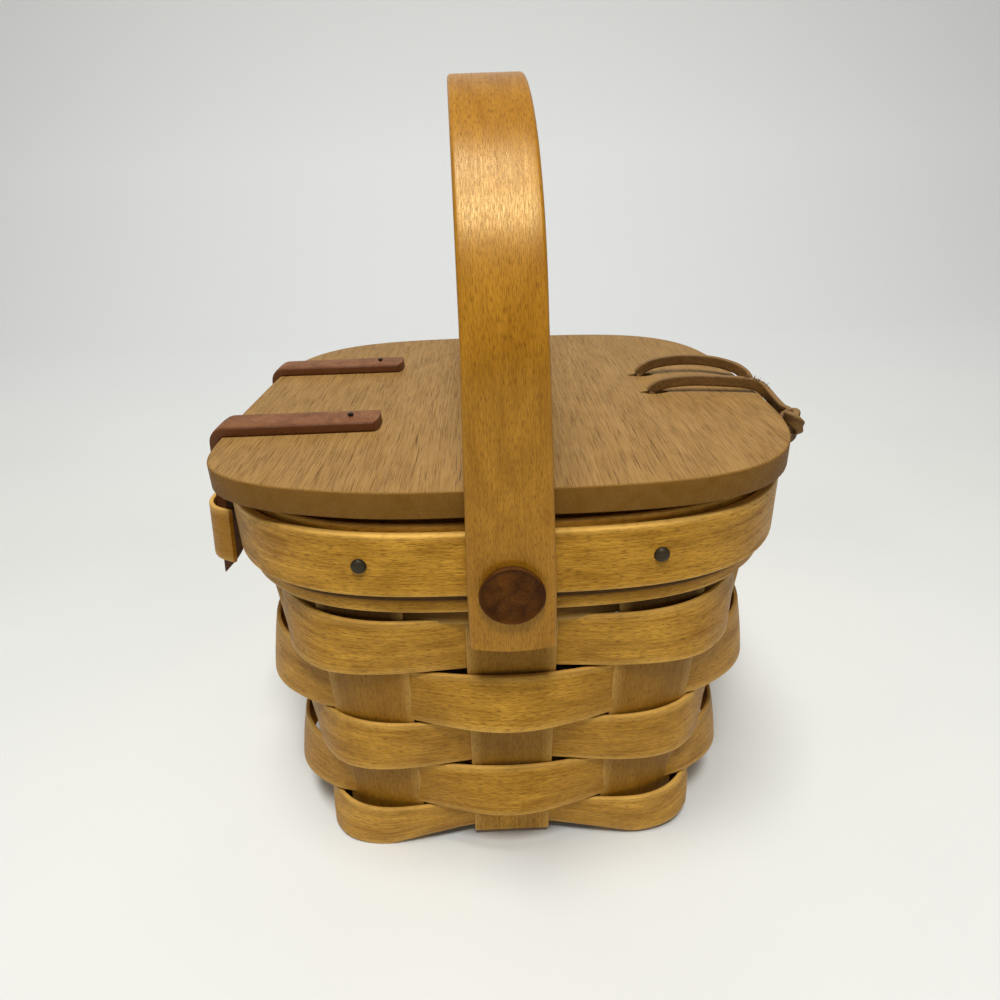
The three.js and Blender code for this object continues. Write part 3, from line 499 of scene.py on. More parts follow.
@dataclass
class Grid:
    """Surface on a grid of points: rows along the piece and columns round its profile.

    Attributes:
        points: rows by columns by three.
        along: map value of each row, with one more where the rows close on themselves.
        across: map value of each column, with one more for the closed profile.
        closed: whether the last row joins the first.
        edge: how near an edge each column or point lies, from 0 to 1.
        tone: how deep the colour is, from 0 to 1, and from there to 2 how dark, of the piece or of each row
            or point; besides random depth it carries painted shade in recesses, gaps and creases, and painted
            light at the feet of the uprights.
        mirror: sum of the numbers of two points that face each other across the profile, or None for a
            round one.
    """

    points: Array
    along: Array
    across: Array
    closed: bool
    edge: Array
    tone: float | Array = 0.5
    mirror: int | None = None

    def corners(self) -> tuple[Array, Array, Array]:
        """Finds the four corners of each quad.

        Returns:
            Their rows and columns, not wrapped, and their point numbers.
        """
        rows, columns = self.points.shape[:2]
        steps = rows if self.closed else rows - 1
        i, j = np.meshgrid(np.arange(steps), np.arange(columns), indexing="ij")
        row = np.stack([i, i + 1, i + 1, i], axis=-1).reshape(-1, 4)
        column = np.stack([j, j, j + 1, j + 1], axis=-1).reshape(-1, 4)
        return row, column, (row % rows) * columns + column % columns

    def cap_faces(self) -> Array:
        """Closes an end with one face of all points, or with quads between points that face each other.

        Returns:
            The point numbers of each face, within the end's row.
        """
        columns = self.points.shape[1]
        if self.mirror is None:
            return np.arange(columns)[None]
        one = np.arange((self.mirror + 1) // 2, (self.mirror + 1 + columns) // 2)
        other = (self.mirror - one) % columns
        one = one % columns
        return np.stack([one[:-1], one[1:], other[1:], other[:-1]], axis=-1)

    def volume(self, quads: Array) -> float:
        """Adds up the volumes between the origin and each half of each quad.

        Args:
            quads: four point numbers for each quad.

        Returns:
            Six times the volume inside, which is negative when the quads face inwards.
        """
        p = self.points.reshape(-1, 3)
        a, b, c, d = (p[quads[:, k]] for k in range(4))
        return float(np.sum(a * np.cross(b, c)) + np.sum(a * np.cross(c, d)))

    def mesh(self, name: str) -> bpy.types.Mesh:
        """Builds the mesh, with flat caps on an open piece, faces outwards, a map and its attributes.

        Args:
            name: the mesh's name.

        Returns:
            The new mesh.
        """
        rows, columns = self.points.shape[:2]
        row, column, quads = self.corners()
        places = np.stack([self.along[row], self.across[column]], axis=-1)
        if self.volume(quads) < 0:
            quads = quads[:, ::-1]
            places = places[:, ::-1]
        faces = quads.tolist()
        maps = [places.reshape(-1, 2)]
        for line, following in () if self.closed else ((0, 1), (rows - 1, rows - 2)):
            cap = self.cap_faces()
            ring = self.points[line]
            crossed = np.cross(ring[cap[:, 2]] - ring[cap[:, 0]], ring[cap[:, -1]] - ring[cap[:, 1]])
            inwards = self.points[following].mean(axis=0) - ring.mean(axis=0)
            if np.dot(crossed.sum(axis=0), inwards) > 0:
                cap = cap[:, ::-1]
            faces.extend((cap + line * columns).tolist())
            flat = cap.ravel()
            maps.append(np.stack([np.full(len(flat), self.along[line]), self.across[flat]], axis=-1))
        mesh = bpy.data.meshes.new(name)
        mesh.from_pydata(self.points.reshape(-1, 3).tolist(), [], faces)
        layer = mesh.uv_layers.new(name=STRIP_MAP)
        layer.data.foreach_set("uv", np.concatenate(maps).astype(np.float32).ravel())
        edge = np.broadcast_to(self.edge, (rows, columns)).reshape(-1)
        add_attribute(mesh, "edge", edge)
        add_attribute(mesh, "tone", np.broadcast_to(self.tone, (rows, columns)).reshape(-1))
        return mesh


def grid_quads(rows: int, columns: int, wrap_rows: bool = False, wrap_columns: bool = False) -> Array:
    """Point numbers of each quad of a grid of points, row by row.

    Args:
        rows: rows of points.
        columns: points in each row.
        wrap_rows: whether the last row joins the first.
        wrap_columns: whether the last point of a row joins its first.

    Returns:
        Four point numbers for each quad.
    """
    down = np.arange(rows if wrap_rows else rows - 1)
    along = np.arange(columns if wrap_columns else columns - 1)
    i, j = np.meshgrid(down, along, indexing="ij")
    row, following = i * columns, (i + 1) % rows * columns
    beside = (j + 1) % columns
    return np.stack([row + j, row + beside, following + beside, following + j], -1).reshape(-1, 4)


def add_attribute(mesh: bpy.types.Mesh, name: str, values: Array) -> None:
    """Stores one value for each point of a mesh."""
    attribute = mesh.attributes.new(name, "FLOAT", "POINT")
    attribute.data.foreach_set("value", np.asarray(values, np.float32))


def strip_profile(width: float, thickness: float, radius: float, across: int = 9, arc: int = 5) -> tuple:
    """Outline of a flat strip with rounded edges, as a closed loop.

    Two straight faces are joined by two half rounds, each made of two quarter circles of the given radius.

    Args:
        width: size across the strip.
        thickness: size through the strip.
        radius: radius of the edges, at most half the thickness.
        across: points on each face.
        arc: points on each quarter circle.

    Returns:
        The place across, the place through and the nearness to an edge of each point, and the sum of the
        numbers of two points that face each other.
    """
    flat = np.linspace(-1, 1, across) * (width / 2 - radius)
    rise = thickness / 2 - radius
    angle = np.linspace(0, math.pi / 2, arc + 2)[1:-1]
    turn_a = radius * np.sin(angle)
    turn_b = radius * np.cos(angle)
    corner = width / 2 - radius
    right_a = np.concatenate([corner + turn_a, [corner + radius] * 2, corner + turn_a[::-1]])
    right_b = np.concatenate([rise + turn_b, [rise, -rise], -rise - turn_b[::-1]])
    a = np.concatenate([flat, right_a, flat[::-1], -right_a])
    b = np.concatenate([np.full(across, thickness / 2), right_b, np.full(across, -thickness / 2), -right_b])
    edge = np.clip((np.abs(a) - (width / 2 - EDGE_FADE)) / EDGE_FADE, 0, 1) ** 2
    return a, b, edge, 2 * across + len(right_a) - 1


def loop_map(values: Array) -> Array:
    """Returns the map values of a closed profile, with the first repeated at the end."""
    return np.append(values, values[0])


def run_length(line: Array, closed: bool) -> Array:
    """Adds up the distances between the points of a line.

    Args:
        line: the points.
        closed: whether the last point joins the first.

    Returns:
        The length up to each point, with the whole length at the end of a closed line.
    """
    joined = np.concatenate([line, line[:1]]) if closed else line
    steps = np.linalg.norm(np.diff(joined, axis=0), axis=1)
    return np.concatenate([[0.0], np.cumsum(steps)])


def closed_disc(grid: Grid, name: str) -> bpy.types.Mesh:
    """Closes a grid of rings at both ends with one flat face each.

    Args:
        grid: the rings, each one a column.
        name: the mesh's name.

    Returns:
        The mesh.
    """
    rows, columns = grid.points.shape[:2]
    quads = grid_quads(rows, columns, wrap_rows=True)
    first = (np.arange(rows) * columns).tolist()
    last = (np.arange(rows)[::-1] * columns + columns - 1).tolist()
    mesh = bpy.data.meshes.new(name)
    mesh.from_pydata(grid.points.reshape(-1, 3).tolist(), [], quads.tolist() + [first, last])
    add_attribute(mesh, "edge", np.broadcast_to(grid.edge, (rows, columns)).reshape(-1))
    add_attribute(mesh, "tone", np.full(rows * columns, grid.tone))
    return mesh


def lathe(
    name: str, profile: Array, place: Array, direction: Array, sides: int, edge: Array
) -> bpy.types.Mesh:
    """Turned piece: a profile of radius and height carried round an axis.

    Args:
        name: the mesh's name.
        profile: radius and height of each point, from the axis at one end to the axis at the other.
        place: where height 0 lies on the axis.
        direction: unit direction of the axis.
        sides: stations round the axis.
        edge: nearness to an edge of each profile point.

    Returns:
        The mesh.
    """
    axis = np.asarray(direction, float)
    helper = np.array([0.0, 0.0, 1.0] if abs(axis[2]) < STEEP_AXIS else [1.0, 0.0, 0.0])
    first = np.cross(helper, axis)
    first /= np.linalg.norm(first)
    second = np.cross(axis, first)
    angle = np.linspace(0, 2 * math.pi, sides, endpoint=False)
    spokes = np.cos(angle)[:, None] * first + np.sin(angle)[:, None] * second
    inner = profile[1:-1]
    ring = inner[:, None, :1] * spokes[None] + inner[:, None, 1:] * axis
    ends = profile[[0, -1], 1:] * axis
    points = np.concatenate([ring.reshape(-1, 3), ends]) + place
    rows = len(inner)
    quads = grid_quads(rows, sides, wrap_columns=True)
    j = np.arange(sides)
    k = (j + 1) % sides
    low = np.stack([np.full(sides, rows * sides), k, j], -1)
    last = (rows - 1) * sides
    high = np.stack([np.full(sides, rows * sides + 1), last + j, last + k], -1)
    mesh = bpy.data.meshes.new(name)
    mesh.from_pydata(points.tolist(), [], quads.tolist() + low.tolist() + high.tolist())
    add_attribute(mesh, "edge", np.concatenate([np.repeat(edge[1:-1], sides), edge[[0, -1]]]))
    add_attribute(mesh, "tone", np.full(len(points), LATHE_TONE))
    return mesh


def smooth_path(points: Array, steps: int) -> Array:
    """Smooth curve through points, with each piece a cubic whose end slopes follow its neighbours.

    Args:
        points: the points that it passes through.
        steps: points on each piece.

    Returns:
        The points of the curve.
    """
    p = np.asarray(points, float)
    padded = np.concatenate([[2 * p[0] - p[1]], p, [2 * p[-1] - p[-2]]])
    t = np.linspace(0, 1, steps, endpoint=False)[None, :, None]
    a, b, c, d = (padded[k : len(p) - 1 + k, None, :] for k in range(4))
    curve = 0.5 * (2 * b + (c - a) * t + (2 * a - 5 * b + 4 * c - d) * t**2 + (3 * b - a - 3 * c + d) * t**3)
    return np.concatenate([curve.reshape(-1, 3), p[-1:]])


def lace(path: Array, width: float, thickness: float, tone: float = 0.4) -> Grid:
    """Flat lace carried along a path with its width upright, with no twist of its own.

    Args:
        path: the points that it follows.
        width: size across the lace.
        thickness: size through it.
        tone: depth of colour.

    Returns:
        The lace's surface.
    """
    tangent = np.gradient(path, axis=0)
    tangent /= np.linalg.norm(tangent, axis=1, keepdims=True)
    side = np.cross(tangent, np.array([0.0, 0.0, 1.0]))
    steep = np.linalg.norm(side, axis=1) < LEAST_SIDE
    side[steep] = np.cross(tangent[steep], np.array(STEEP_SIDE))
    side /= np.linalg.norm(side, axis=1, keepdims=True)
    rise = np.cross(side, tangent)
    a, b, _, mirror = strip_profile(width, thickness, LACE_ROUNDING * thickness, across=7, arc=3)
    points = path[:, None] + a[None, :, None] * rise[:, None] + b[None, :, None] * side[:, None]
    edge = np.clip((np.abs(a) / width - LACE_EDGE_START) * LACE_EDGE_GAIN, 0, 1)
    return Grid(points, run_length(path, False), loop_map(a), False, edge, tone, mirror)


class Workshop:
    """Puts finished meshes into the scene, each riding on its body and standing for its CAD nodes."""

    def __init__(self, finishes: Finishes) -> None:
        """Keeps the finishes.

        Args:
            finishes: every material, by slot.
        """
        self.finishes = finishes

    def place(self, name: str, mesh: bpy.types.Mesh, slot: Slot, nodes: tuple = ()) -> bpy.types.Object:
        """Makes an object of a mesh, shades it smoothly and gives it its finish.

        Args:
            name: the piece's name.
            mesh: its mesh, in the frame.
            slot: the record's slot that it takes its finish from.
            nodes: the CAD nodes that it stands for.

        Returns:
            The new object, which rides on nothing yet.
        """
        mesh.polygons.foreach_set("use_smooth", np.ones(len(mesh.polygons), bool))
        mesh.set_sharp_from_angle(angle=SHARP_ANGLE)
        mesh.update()
        mesh.validate()
        mesh.materials.clear()
        mesh.materials.append(self.finishes.by_slot[slot])
        piece = bpy.data.objects.new(name, mesh)
        bpy.context.scene.collection.objects.link(piece)
        if nodes:
            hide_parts(*nodes)
        LOG.info("%s: %d faces, %s", name, len(mesh.polygons), slot.value)
        return piece

    def fix(self, name: str, mesh: bpy.types.Mesh, slot: Slot, body: Body, *nodes: str) -> bpy.types.Object:
        """Returns a placed piece that rides on one body and stands for the given CAD nodes."""
        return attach(self.place(name, mesh, slot, nodes), body.value)

    def dress(self, node: str, slot: Slot) -> None:
        """Gives a CAD node that stays its finish.

        Args:
            node: the node's name.
            slot: the record's slot that it takes its finish from.
        """
        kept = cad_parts[node]
        kept.data.materials.clear()
        kept.data.materials.append(self.finishes.by_slot[slot])
        LOG.info("%s: CAD node kept, %s", node, slot.value)


@dataclass(frozen=True)
class Wall:
    """Bowed square plan of the basket, which widens and rounds off up to a shoulder, and draws in to the rim.

    At each height the plan is |x|^n + |y|^n = h^n, with the half size h and the squareness n.
    """

    base_half: float = 58.0 * MM
    shoulder_half: float = 69.6 * MM
    rim_half: float = 68.0 * MM
    base_squareness: float = 4.3
    shoulder_squareness: float = 3.1
    rim_squareness: float = 3.3
    shoulder: float = 87.0 * MM
    flare_top: float = 91.1 * MM

    def plan(self, z: Array, square: float = 0.0) -> tuple[Array, Array]:
        """Plan at a height: straight lines from the base to the shoulder, and from there to the rim.

        Args:
            z: the height.
            square: squareness to add.

        Returns:
            The half size and the squareness.
        """
        share = np.clip(np.asarray(z) / self.shoulder, 0, 1)
        drawn = np.clip((np.asarray(z) - self.shoulder) / (self.flare_top - self.shoulder), 0, 1)
        half = self.base_half + (self.shoulder_half - self.base_half) * share
        half = half + (self.rim_half - self.shoulder_half) * drawn
        squareness = self.base_squareness + (self.shoulder_squareness - self.base_squareness) * share
        return half, squareness + (self.rim_squareness - self.shoulder_squareness) * drawn + square

    def reach(self, z: Array, square: float = 0.0) -> Array:
        """Returns the distance along a side from its middle to its corner."""
        half, squareness = self.plan(z, square)
        return half * 2 ** (-1 / squareness)

    def depth(self, u: Array, z: Array, square: float = 0.0) -> Array:
        """Returns the distance from the middle to a side, at a distance along the side."""
        half, squareness = self.plan(z, square)
        return half * (1 - (np.abs(u) / half) ** squareness) ** (1 / squareness)

    def normal(self, u: Array, z: Array, square: float = 0.0) -> tuple[Array, Array]:
        """Outward direction of a side, which is the slope of |x|^n + |y|^n brought to length 1.

        Args:
            u: distance along the side.
            z: height whose plan is used.
            square: squareness to add.

        Returns:
            Its parts along the side and away from the middle.
        """
        squareness = self.plan(z, square)[1]
        along = np.sign(u) * np.abs(u) ** (squareness - 1)
        away = self.depth(u, z, square) ** (squareness - 1)
        length = np.hypot(along, away)
        return along / length, away / length

    def point(self, side: Array, u: Array, z: Array, offset: Array, plan_z: float) -> Array:
        """Returns points on a side of the plan, moved outwards.

        Args:
            side: number of the side, from Side.
            u: distance along the side.
            z: height of the point.
            offset: distance outwards from the plan.
            plan_z: height whose plan is used.

        Returns:
            The points.
        """
        along, away = self.normal(u, plan_z)
        x, y = turn_side(side, u + offset * along, self.depth(u, plan_z) + offset * away)
        return np.stack(np.broadcast_arrays(x, y, z), axis=-1)


def turn_side(side: Array, u: Array, depth: Array) -> tuple[Array, Array]:
    """Turns a place on a side to where the side stands: a quarter turn for each side after the front.

    Args:
        side: number of the side, from Side.
        u: distance along the side.
        depth: distance from the middle of the basket.

    Returns:
        The place in x and y.
    """
    cosine = np.round(np.cos(np.asarray(side) * math.pi / 2))
    sine = np.round(np.sin(np.asarray(side) * math.pi / 2))
    return u * cosine + depth * sine, u * sine - depth * cosine


def ring_stations(steps: int) -> tuple[Array, Array]:
    """Stations round the four sides, close together at the corners.

    Args:
        steps: stations on each side.

    Returns:
        The side of each station, and its place as a share of the way from the middle to the corner.
    """
    share = np.sin(np.linspace(-1, 1, steps, endpoint=False) * math.pi / 2)
    return np.repeat(np.arange(4), steps)[:, None], np.tile(share, 4)[:, None]


# Sub-assemblies

# Where each strip starts on its grain map, far enough apart that no two strips have the same grain
ROW_MAP_STEP = 0.9
UPRIGHT_MAP_START = 20.0
UPRIGHT_MAP_STEP = 0.7
TURN_MAP_STEP = 3.0
HOOP_MAP_START = 60.0
HOOP_MAP_STEP = 10.0
KEEPER_MAP_START = 90.0
HANDLE_MAP_START = 120.0


@dataclass
class WovenBody:
    """Upright splints that run under the base, and the rows woven between them."""

    wall: Wall = field(default_factory=Wall)
    upright_width: float = 22.0 * MM
    upright_thickness: float = 1.4 * MM
    upright_pitch: float = 36.5 * MM
    upright_top: float = 111.0 * MM
    upright_edge: float = 0.45 * MM
    weaver_width: float = 16.7 * MM
    weaver_thickness: float = 1.2 * MM
    weaver_edge: float = 0.42 * MM
    weaver_cup: float = 0.25 * MM
    row_pitch: float = 17.6 * MM
    top_weaver_bottom: float = 86.4 * MM
    top_weaver_width: float = 9.3 * MM
    # One value for each row, from the base up
    row_lips: tuple = (0.1 * MM, 4.8 * MM, 0.7 * MM, 4.4 * MM, -0.7 * MM, 0.0)
    side_lips: tuple = (3.8 * MM,) * 5 + (0.0,)
    side_stands: tuple = (1.1 * MM,) * 5 + (0.0,)
    row_squareness: tuple = (6.2, 2.4, 1.5, 1.6, 1.5, 0.0)
    top_squareness: tuple = (1.4, 0.3, 0.0, 0.0, 0.0, 0.0)
    top_stands: tuple = (0.5 * MM,) * 5 + (0.0,)
    # Sway of the rows
    weave_swing: float = 1.4 * MM
    corner_power: float = 1.5
    # How this basket was woven and has worn
    base_shift: float = -1.7 * MM
    side_swell: float = -1.2 * MM
    swell_start: float = 44.0 * MM
    swell_width: float = 12.0 * MM
    swell_foot: float = 10.0 * MM
    swell_rise: float = 24.0 * MM
    corner_lift: float = 2.4 * MM
    corner_reach: float = 52.0 * MM
    lift_fade: float = 45.0 * MM
    # Stations along the strips
    row_stations: int = 64
    wall_steps: int = 26
    fold_steps: int = 9
    cross_steps: int = 30
    # Depth of colour
    tone_seed: int = 7
    tone_spread: float = 0.35
    # Painted shade where a row passes behind an upright
    behind_shade_tone: float = 0.3
    # Painted shade: the recessed uprights are deeper in colour than the rows
    upright_shade_tone: float = 0.9
    # Painted light: the uprights grow paler below this height
    painted_light_height: float = 15.0 * MM
    painted_light_fade: float = 6.0 * MM
    # Painted shade on the top row, which lies in the gap under the rim
    top_row_shade_tone: float = 1.6
    # Painted shade on the uprights from this height up, in the gap under the rim
    rim_shade_start: float = 82.0 * MM
    rim_shade_width: float = 5.0 * MM
    # Base
    seat_gap: float = 0.3 * MM
    base_arch: float = 5.6 * MM
    base_arch_fade: float = 8.0 * MM
    sheet_height: float = 1.9 * MM
    sheet_dome: float = 0.6 * MM
    base_fold: float = 2.2 * MM
    cross_inset: float = 2.0 * MM
    hem_rise: float = 0.5 * MM

    def dome(self, u: Array) -> Array:
        """Returns how near a place is to the middle of a side, from 0 at the outer uprights to 1."""
        return np.maximum(0, 1 - (u / self.upright_pitch) ** 2)

    def sheet_z(self, u: Array, v: Array) -> Array:
        """Returns the height of the middle of the base sheet."""
        return self.sheet_height + self.sheet_dome * (self.dome(u) + self.dome(v))

    def swing(self, side: Array, row: int, u: Array, reach: Array) -> Array:
        """Sway of a weaver: a cosine wave, 1 outside an upright, -1 inside the next, and 0 at a corner.

        Args:
            side: number of the side.
            row: number of the row, from 1 at the base.
            u: distance along the side.
            reach: distance from the middle of the side to its corner.

        Returns:
            The sway at each place.
        """
        outer = np.where((3 * side + row) % 2 == 1, 1.0, -1.0)
        far = self.upright_pitch
        away = np.abs(u)
        corner = np.clip((away - far) / (reach - far), 0, 1)
        between = -outer * np.cos(away / far * math.pi)
        return np.where(away < far, between, outer * np.cos(corner * math.pi / 2))

    def lift(self, u: Array, z: float, swing: Array) -> Array:
        """How far the domed base lifts a weaver's edge, which also clears the base sheet at the hem.

        Args:
            u: distance along the side.
            z: height of the edge at the corners.
            swing: sway of the weaver.

        Returns:
            The lift at each place.
        """
        arch = self.base_arch * math.exp(-z / self.base_arch_fade) * self.dome(u)
        if z > 0:
            return arch
        sheet = self.sheet_z(u, self.wall.depth(u, 0.0))
        clear = sheet + self.upright_thickness / 2 + self.seat_gap + self.hem_rise
        return arch + (np.maximum(arch, clear) - arch) * (1 - swing) / 2

    def settle(self, points: Array) -> Array:
        """Points of the weave as it was woven and has worn.

        The sides are set in, the base is shifted to the left, and its front right corner is lifted off the
        floor by the product of the shares of the way to the right and to the front.

        Args:
            points: points of a row or an upright.

        Returns:
            The moved points.
        """
        z = points[..., 2]
        below = np.clip((self.wall.flare_top - z) / (self.wall.flare_top - self.wall.shoulder), 0, 1)
        fall = np.clip(1 - z / self.wall.flare_top, 0, 1)
        ramp = np.clip((np.abs(points[..., 0]) - self.swell_start) / self.swell_width, 0, 1)
        above = np.clip((z - self.swell_foot) / self.swell_rise, 0, 1)
        swell = self.side_swell * below * above * ramp**2 * (3 - 2 * ramp)
        moved = points.copy()
        moved[..., 0] += np.sign(points[..., 0]) * swell + self.base_shift * fall
        right = np.clip(points[..., 0] / self.corner_reach, 0, 1)
        front = np.clip(-points[..., 1] / self.corner_reach, 0, 1)
        moved[..., 2] += self.corner_lift * right**2 * front**2 * np.clip(1 - z / self.lift_fade, 0, 1)
        return moved

    def row_edge(self, row: int, z: float, lip: float, side_lip: float, square: float) -> tuple:
        """Middle line of one edge of a row.

        Args:
            row: number of the row.
            z: height of the edge at the corners.
            lip: how far it stands out over an upright of the front and back.
            side_lip: the same on the left and right.
            square: squareness added to the wall's plan where the row passes outside, with half of it at
                the corners.

        Returns:
            The points, the outward directions and the sway at each point.
        """
        side, share = ring_stations(self.row_stations)
        reach = self.wall.reach(z, square / 2)
        u = reach * share
        swing = self.swing(side, row, u, reach)
        square = square * (1 + swing) / 2
        height = z + self.lift(u, z, swing)
        inner = np.abs(u) < self.upright_pitch
        share_out = np.where(inner, (1 + swing) / 2, np.maximum(0, swing) ** self.corner_power)
        out = np.where(side % 2 == 0, lip, side_lip) * share_out
        offset = self.weave_swing * swing + out
        along, away = self.wall.normal(u, height, square)
        depth = self.wall.depth(u, height, square)
        place = np.concatenate([*turn_side(side, u + offset * along, depth + offset * away), height], axis=-1)
        direction = np.concatenate([*turn_side(side, along, away), 0 * along], axis=-1)
        return place, direction, swing

    def weaver(self, row: int, bottom: float, width: float, tone: float) -> Grid:
        """One woven row: a strip profile carried round the wall.

        Between its lower and its upper edge each value runs in a straight line, and the middle of the strip
        is cupped outwards a little. The lower edge is squarer than the upper one. Painted shade deepens the
        colour where the row passes behind an upright.

        Args:
            row: number of the row.
            bottom: height of the lower edge.
            width: width of the row.
            tone: depth of colour.

        Returns:
            The row's surface.
        """
        a, b, edge, _ = strip_profile(width, self.weaver_thickness, self.weaver_edge)
        v = (a / width + 0.5)[None, :, None]
        lip, square = self.row_lips[row - 1], self.row_squareness[row - 1]
        low, low_out, swing = self.row_edge(row, bottom, lip, self.side_lips[row - 1], square)
        stand, side_stand, square = (
            each[row - 1] for each in (self.top_stands, self.side_stands, self.top_squareness)
        )
        high, high_out, _ = self.row_edge(row, bottom + width, stand, side_stand, square)
        place = low[:, None] + (high - low)[:, None] * v
        direction = low_out[:, None] + (high_out - low_out)[:, None] * v
        cup = self.weaver_cup * (1 - (2 * v - 1) ** 2)
        points = self.settle(place + direction * (cup + b[None, :, None]))
        along = run_length(points.mean(axis=1), True) + row * ROW_MAP_STEP
        return Grid(points, along, loop_map(a), True, edge, tone + self.behind_shade_tone * (1 - swing))

    def upright(self, column: int, turn: int, tone: float) -> Grid:
        """One splint from the rim down one side, under the base and up the other side.

        It follows the wall down, turns in along a parabola, and crosses the base over and under in turn.

        Args:
            column: 0, 1 or 2 along the side.
            turn: 0 from front to back, 1 from side to side.
            tone: depth of colour.

        Returns:
            The splint's surface.
        """
        a, b, edge, mirror = strip_profile(self.upright_width, self.upright_thickness, self.upright_edge)
        u = ((column - 1) * self.upright_pitch + a)[None, :]
        floor = self.sheet_z(u, self.wall.depth(u, 0.0))
        fold = floor + self.base_fold
        share = np.linspace(0, 1, self.wall_steps)[:, None]
        wall_z = self.wall.flare_top + (fold - self.wall.flare_top) * share
        wall_z = np.concatenate([np.full_like(u, self.upright_top), wall_z])
        wall_depth = self.wall.depth(u, wall_z)
        t = np.linspace(0, 1, self.fold_steps)[1:, None]
        fold_depth = wall_depth[-1:] - self.base_fold * t**2
        fold_z = floor + (fold - floor) * (1 - t) ** 2
        cross = (fold_depth[-1:] - self.cross_inset) * np.linspace(1, 0, self.cross_steps)[:, None]
        signs = [1.0 if (column + k + turn) % 2 == 0 else -1.0 for k in (0, 1)]
        half = self.upright_width / 2
        inner = np.clip((self.upright_pitch - half - cross) / (self.upright_pitch - 2 * half), 0, 1)
        inner = inner * inner * (3 - 2 * inner)
        start = np.clip((fold_depth[-1:] - cross) / (fold_depth[-1:] - self.upright_pitch - half), 0, 1)
        weave = (self.upright_thickness + self.seat_gap) / 2
        cross_z = self.sheet_z(u, cross) + weave * start * (signs[0] + (signs[1] - signs[0]) * inner)
        depth = np.concatenate([wall_depth, fold_depth, cross])
        z = np.concatenate([wall_z, fold_z, cross_z])
        lean = np.concatenate([np.zeros(len(wall_z)), t[:, 0], np.ones(len(cross))])[:, None] * math.pi / 2
        along, away = self.wall.normal(u, z)
        x = u + b * np.cos(lean) * along
        y = depth + b * np.cos(lean) * away
        z = z - b * np.sin(lean)
        first = np.stack(np.broadcast_arrays(*turn_side(turn, x, y), z), axis=-1)
        second = np.stack(np.broadcast_arrays(*turn_side(turn, x, -y), z), axis=-1)
        points = self.settle(np.concatenate([first, second[-2::-1]]))
        map_start = UPRIGHT_MAP_START + UPRIGHT_MAP_STEP * column + TURN_MAP_STEP * turn
        length = run_length(points.mean(axis=1), False) + map_start
        # Painted shade high up in the gap under the rim
        dark = np.clip((points[..., 2] - self.rim_shade_start) / self.rim_shade_width, 0, 1)
        # Painted light: paler towards the feet
        pale = np.clip((self.painted_light_height - points[..., 2]) / self.painted_light_fade, 0, 1)
        return Grid(points, length, loop_map(a), False, edge, np.maximum(tone + dark - pale, 0), mirror)

    def build(self, shop: Workshop) -> None:
        """Builds every splint and every row.

        Args:
            shop: where the pieces go.
        """
        names = (("left", "middle", "right"), ("front", "middle", "back"))
        columns = len(names[0])
        uprights = len(names) * columns
        rows = len(self.row_lips)
        tones = np.random.default_rng(self.tone_seed).uniform(0.0, self.tone_spread, uprights + rows)
        for turn, way in enumerate(("front_to_back", "side_to_side")):
            for column, end in enumerate(names[turn]):
                grid = self.upright(column, turn, self.upright_shade_tone + tones[columns * turn + column])
                name = f"upright_{way}_{end}"
                shop.fix(name, grid.mesh(name), Slot.SPLINT, Body.BASKET, f"splint_{way}_{end}")
        for row in range(1, rows + 1):
            bottom, width, tone = (row - 1) * self.row_pitch, self.weaver_width, tones[uprights + row - 1]
            if row == rows:
                # The top row takes painted shade, in the gap under the rim
                bottom, width, tone = self.top_weaver_bottom, self.top_weaver_width, self.top_row_shade_tone
            name = f"woven_row_{row}"
            mesh = self.weaver(row, bottom, width, tone).mesh(name)
            shop.fix(name, mesh, Slot.SPLINT, Body.BASKET, f"weaver_row_{row}")


@dataclass(frozen=True)
class Hoop:
    """One hoop of the rim.

    Attributes:
        name: the piece's name.
        node: the CAD node that it stands for.
        inside: offset of its inner face from the wall.
        outside: offset of its outer face from the wall.
        bottom: height of its lower edge.
        top: height of its upper edge.
        tone: depth of colour.
        draw: how far it draws in at the corners.
        shade_line_tone: depth of the painted shade line just under the lower edge of the next hoop out.
    """

    name: str
    node: str
    inside: float
    outside: float
    bottom: float
    top: float
    tone: float
    draw: float = 0.0
    shade_line_tone: float = 0.0


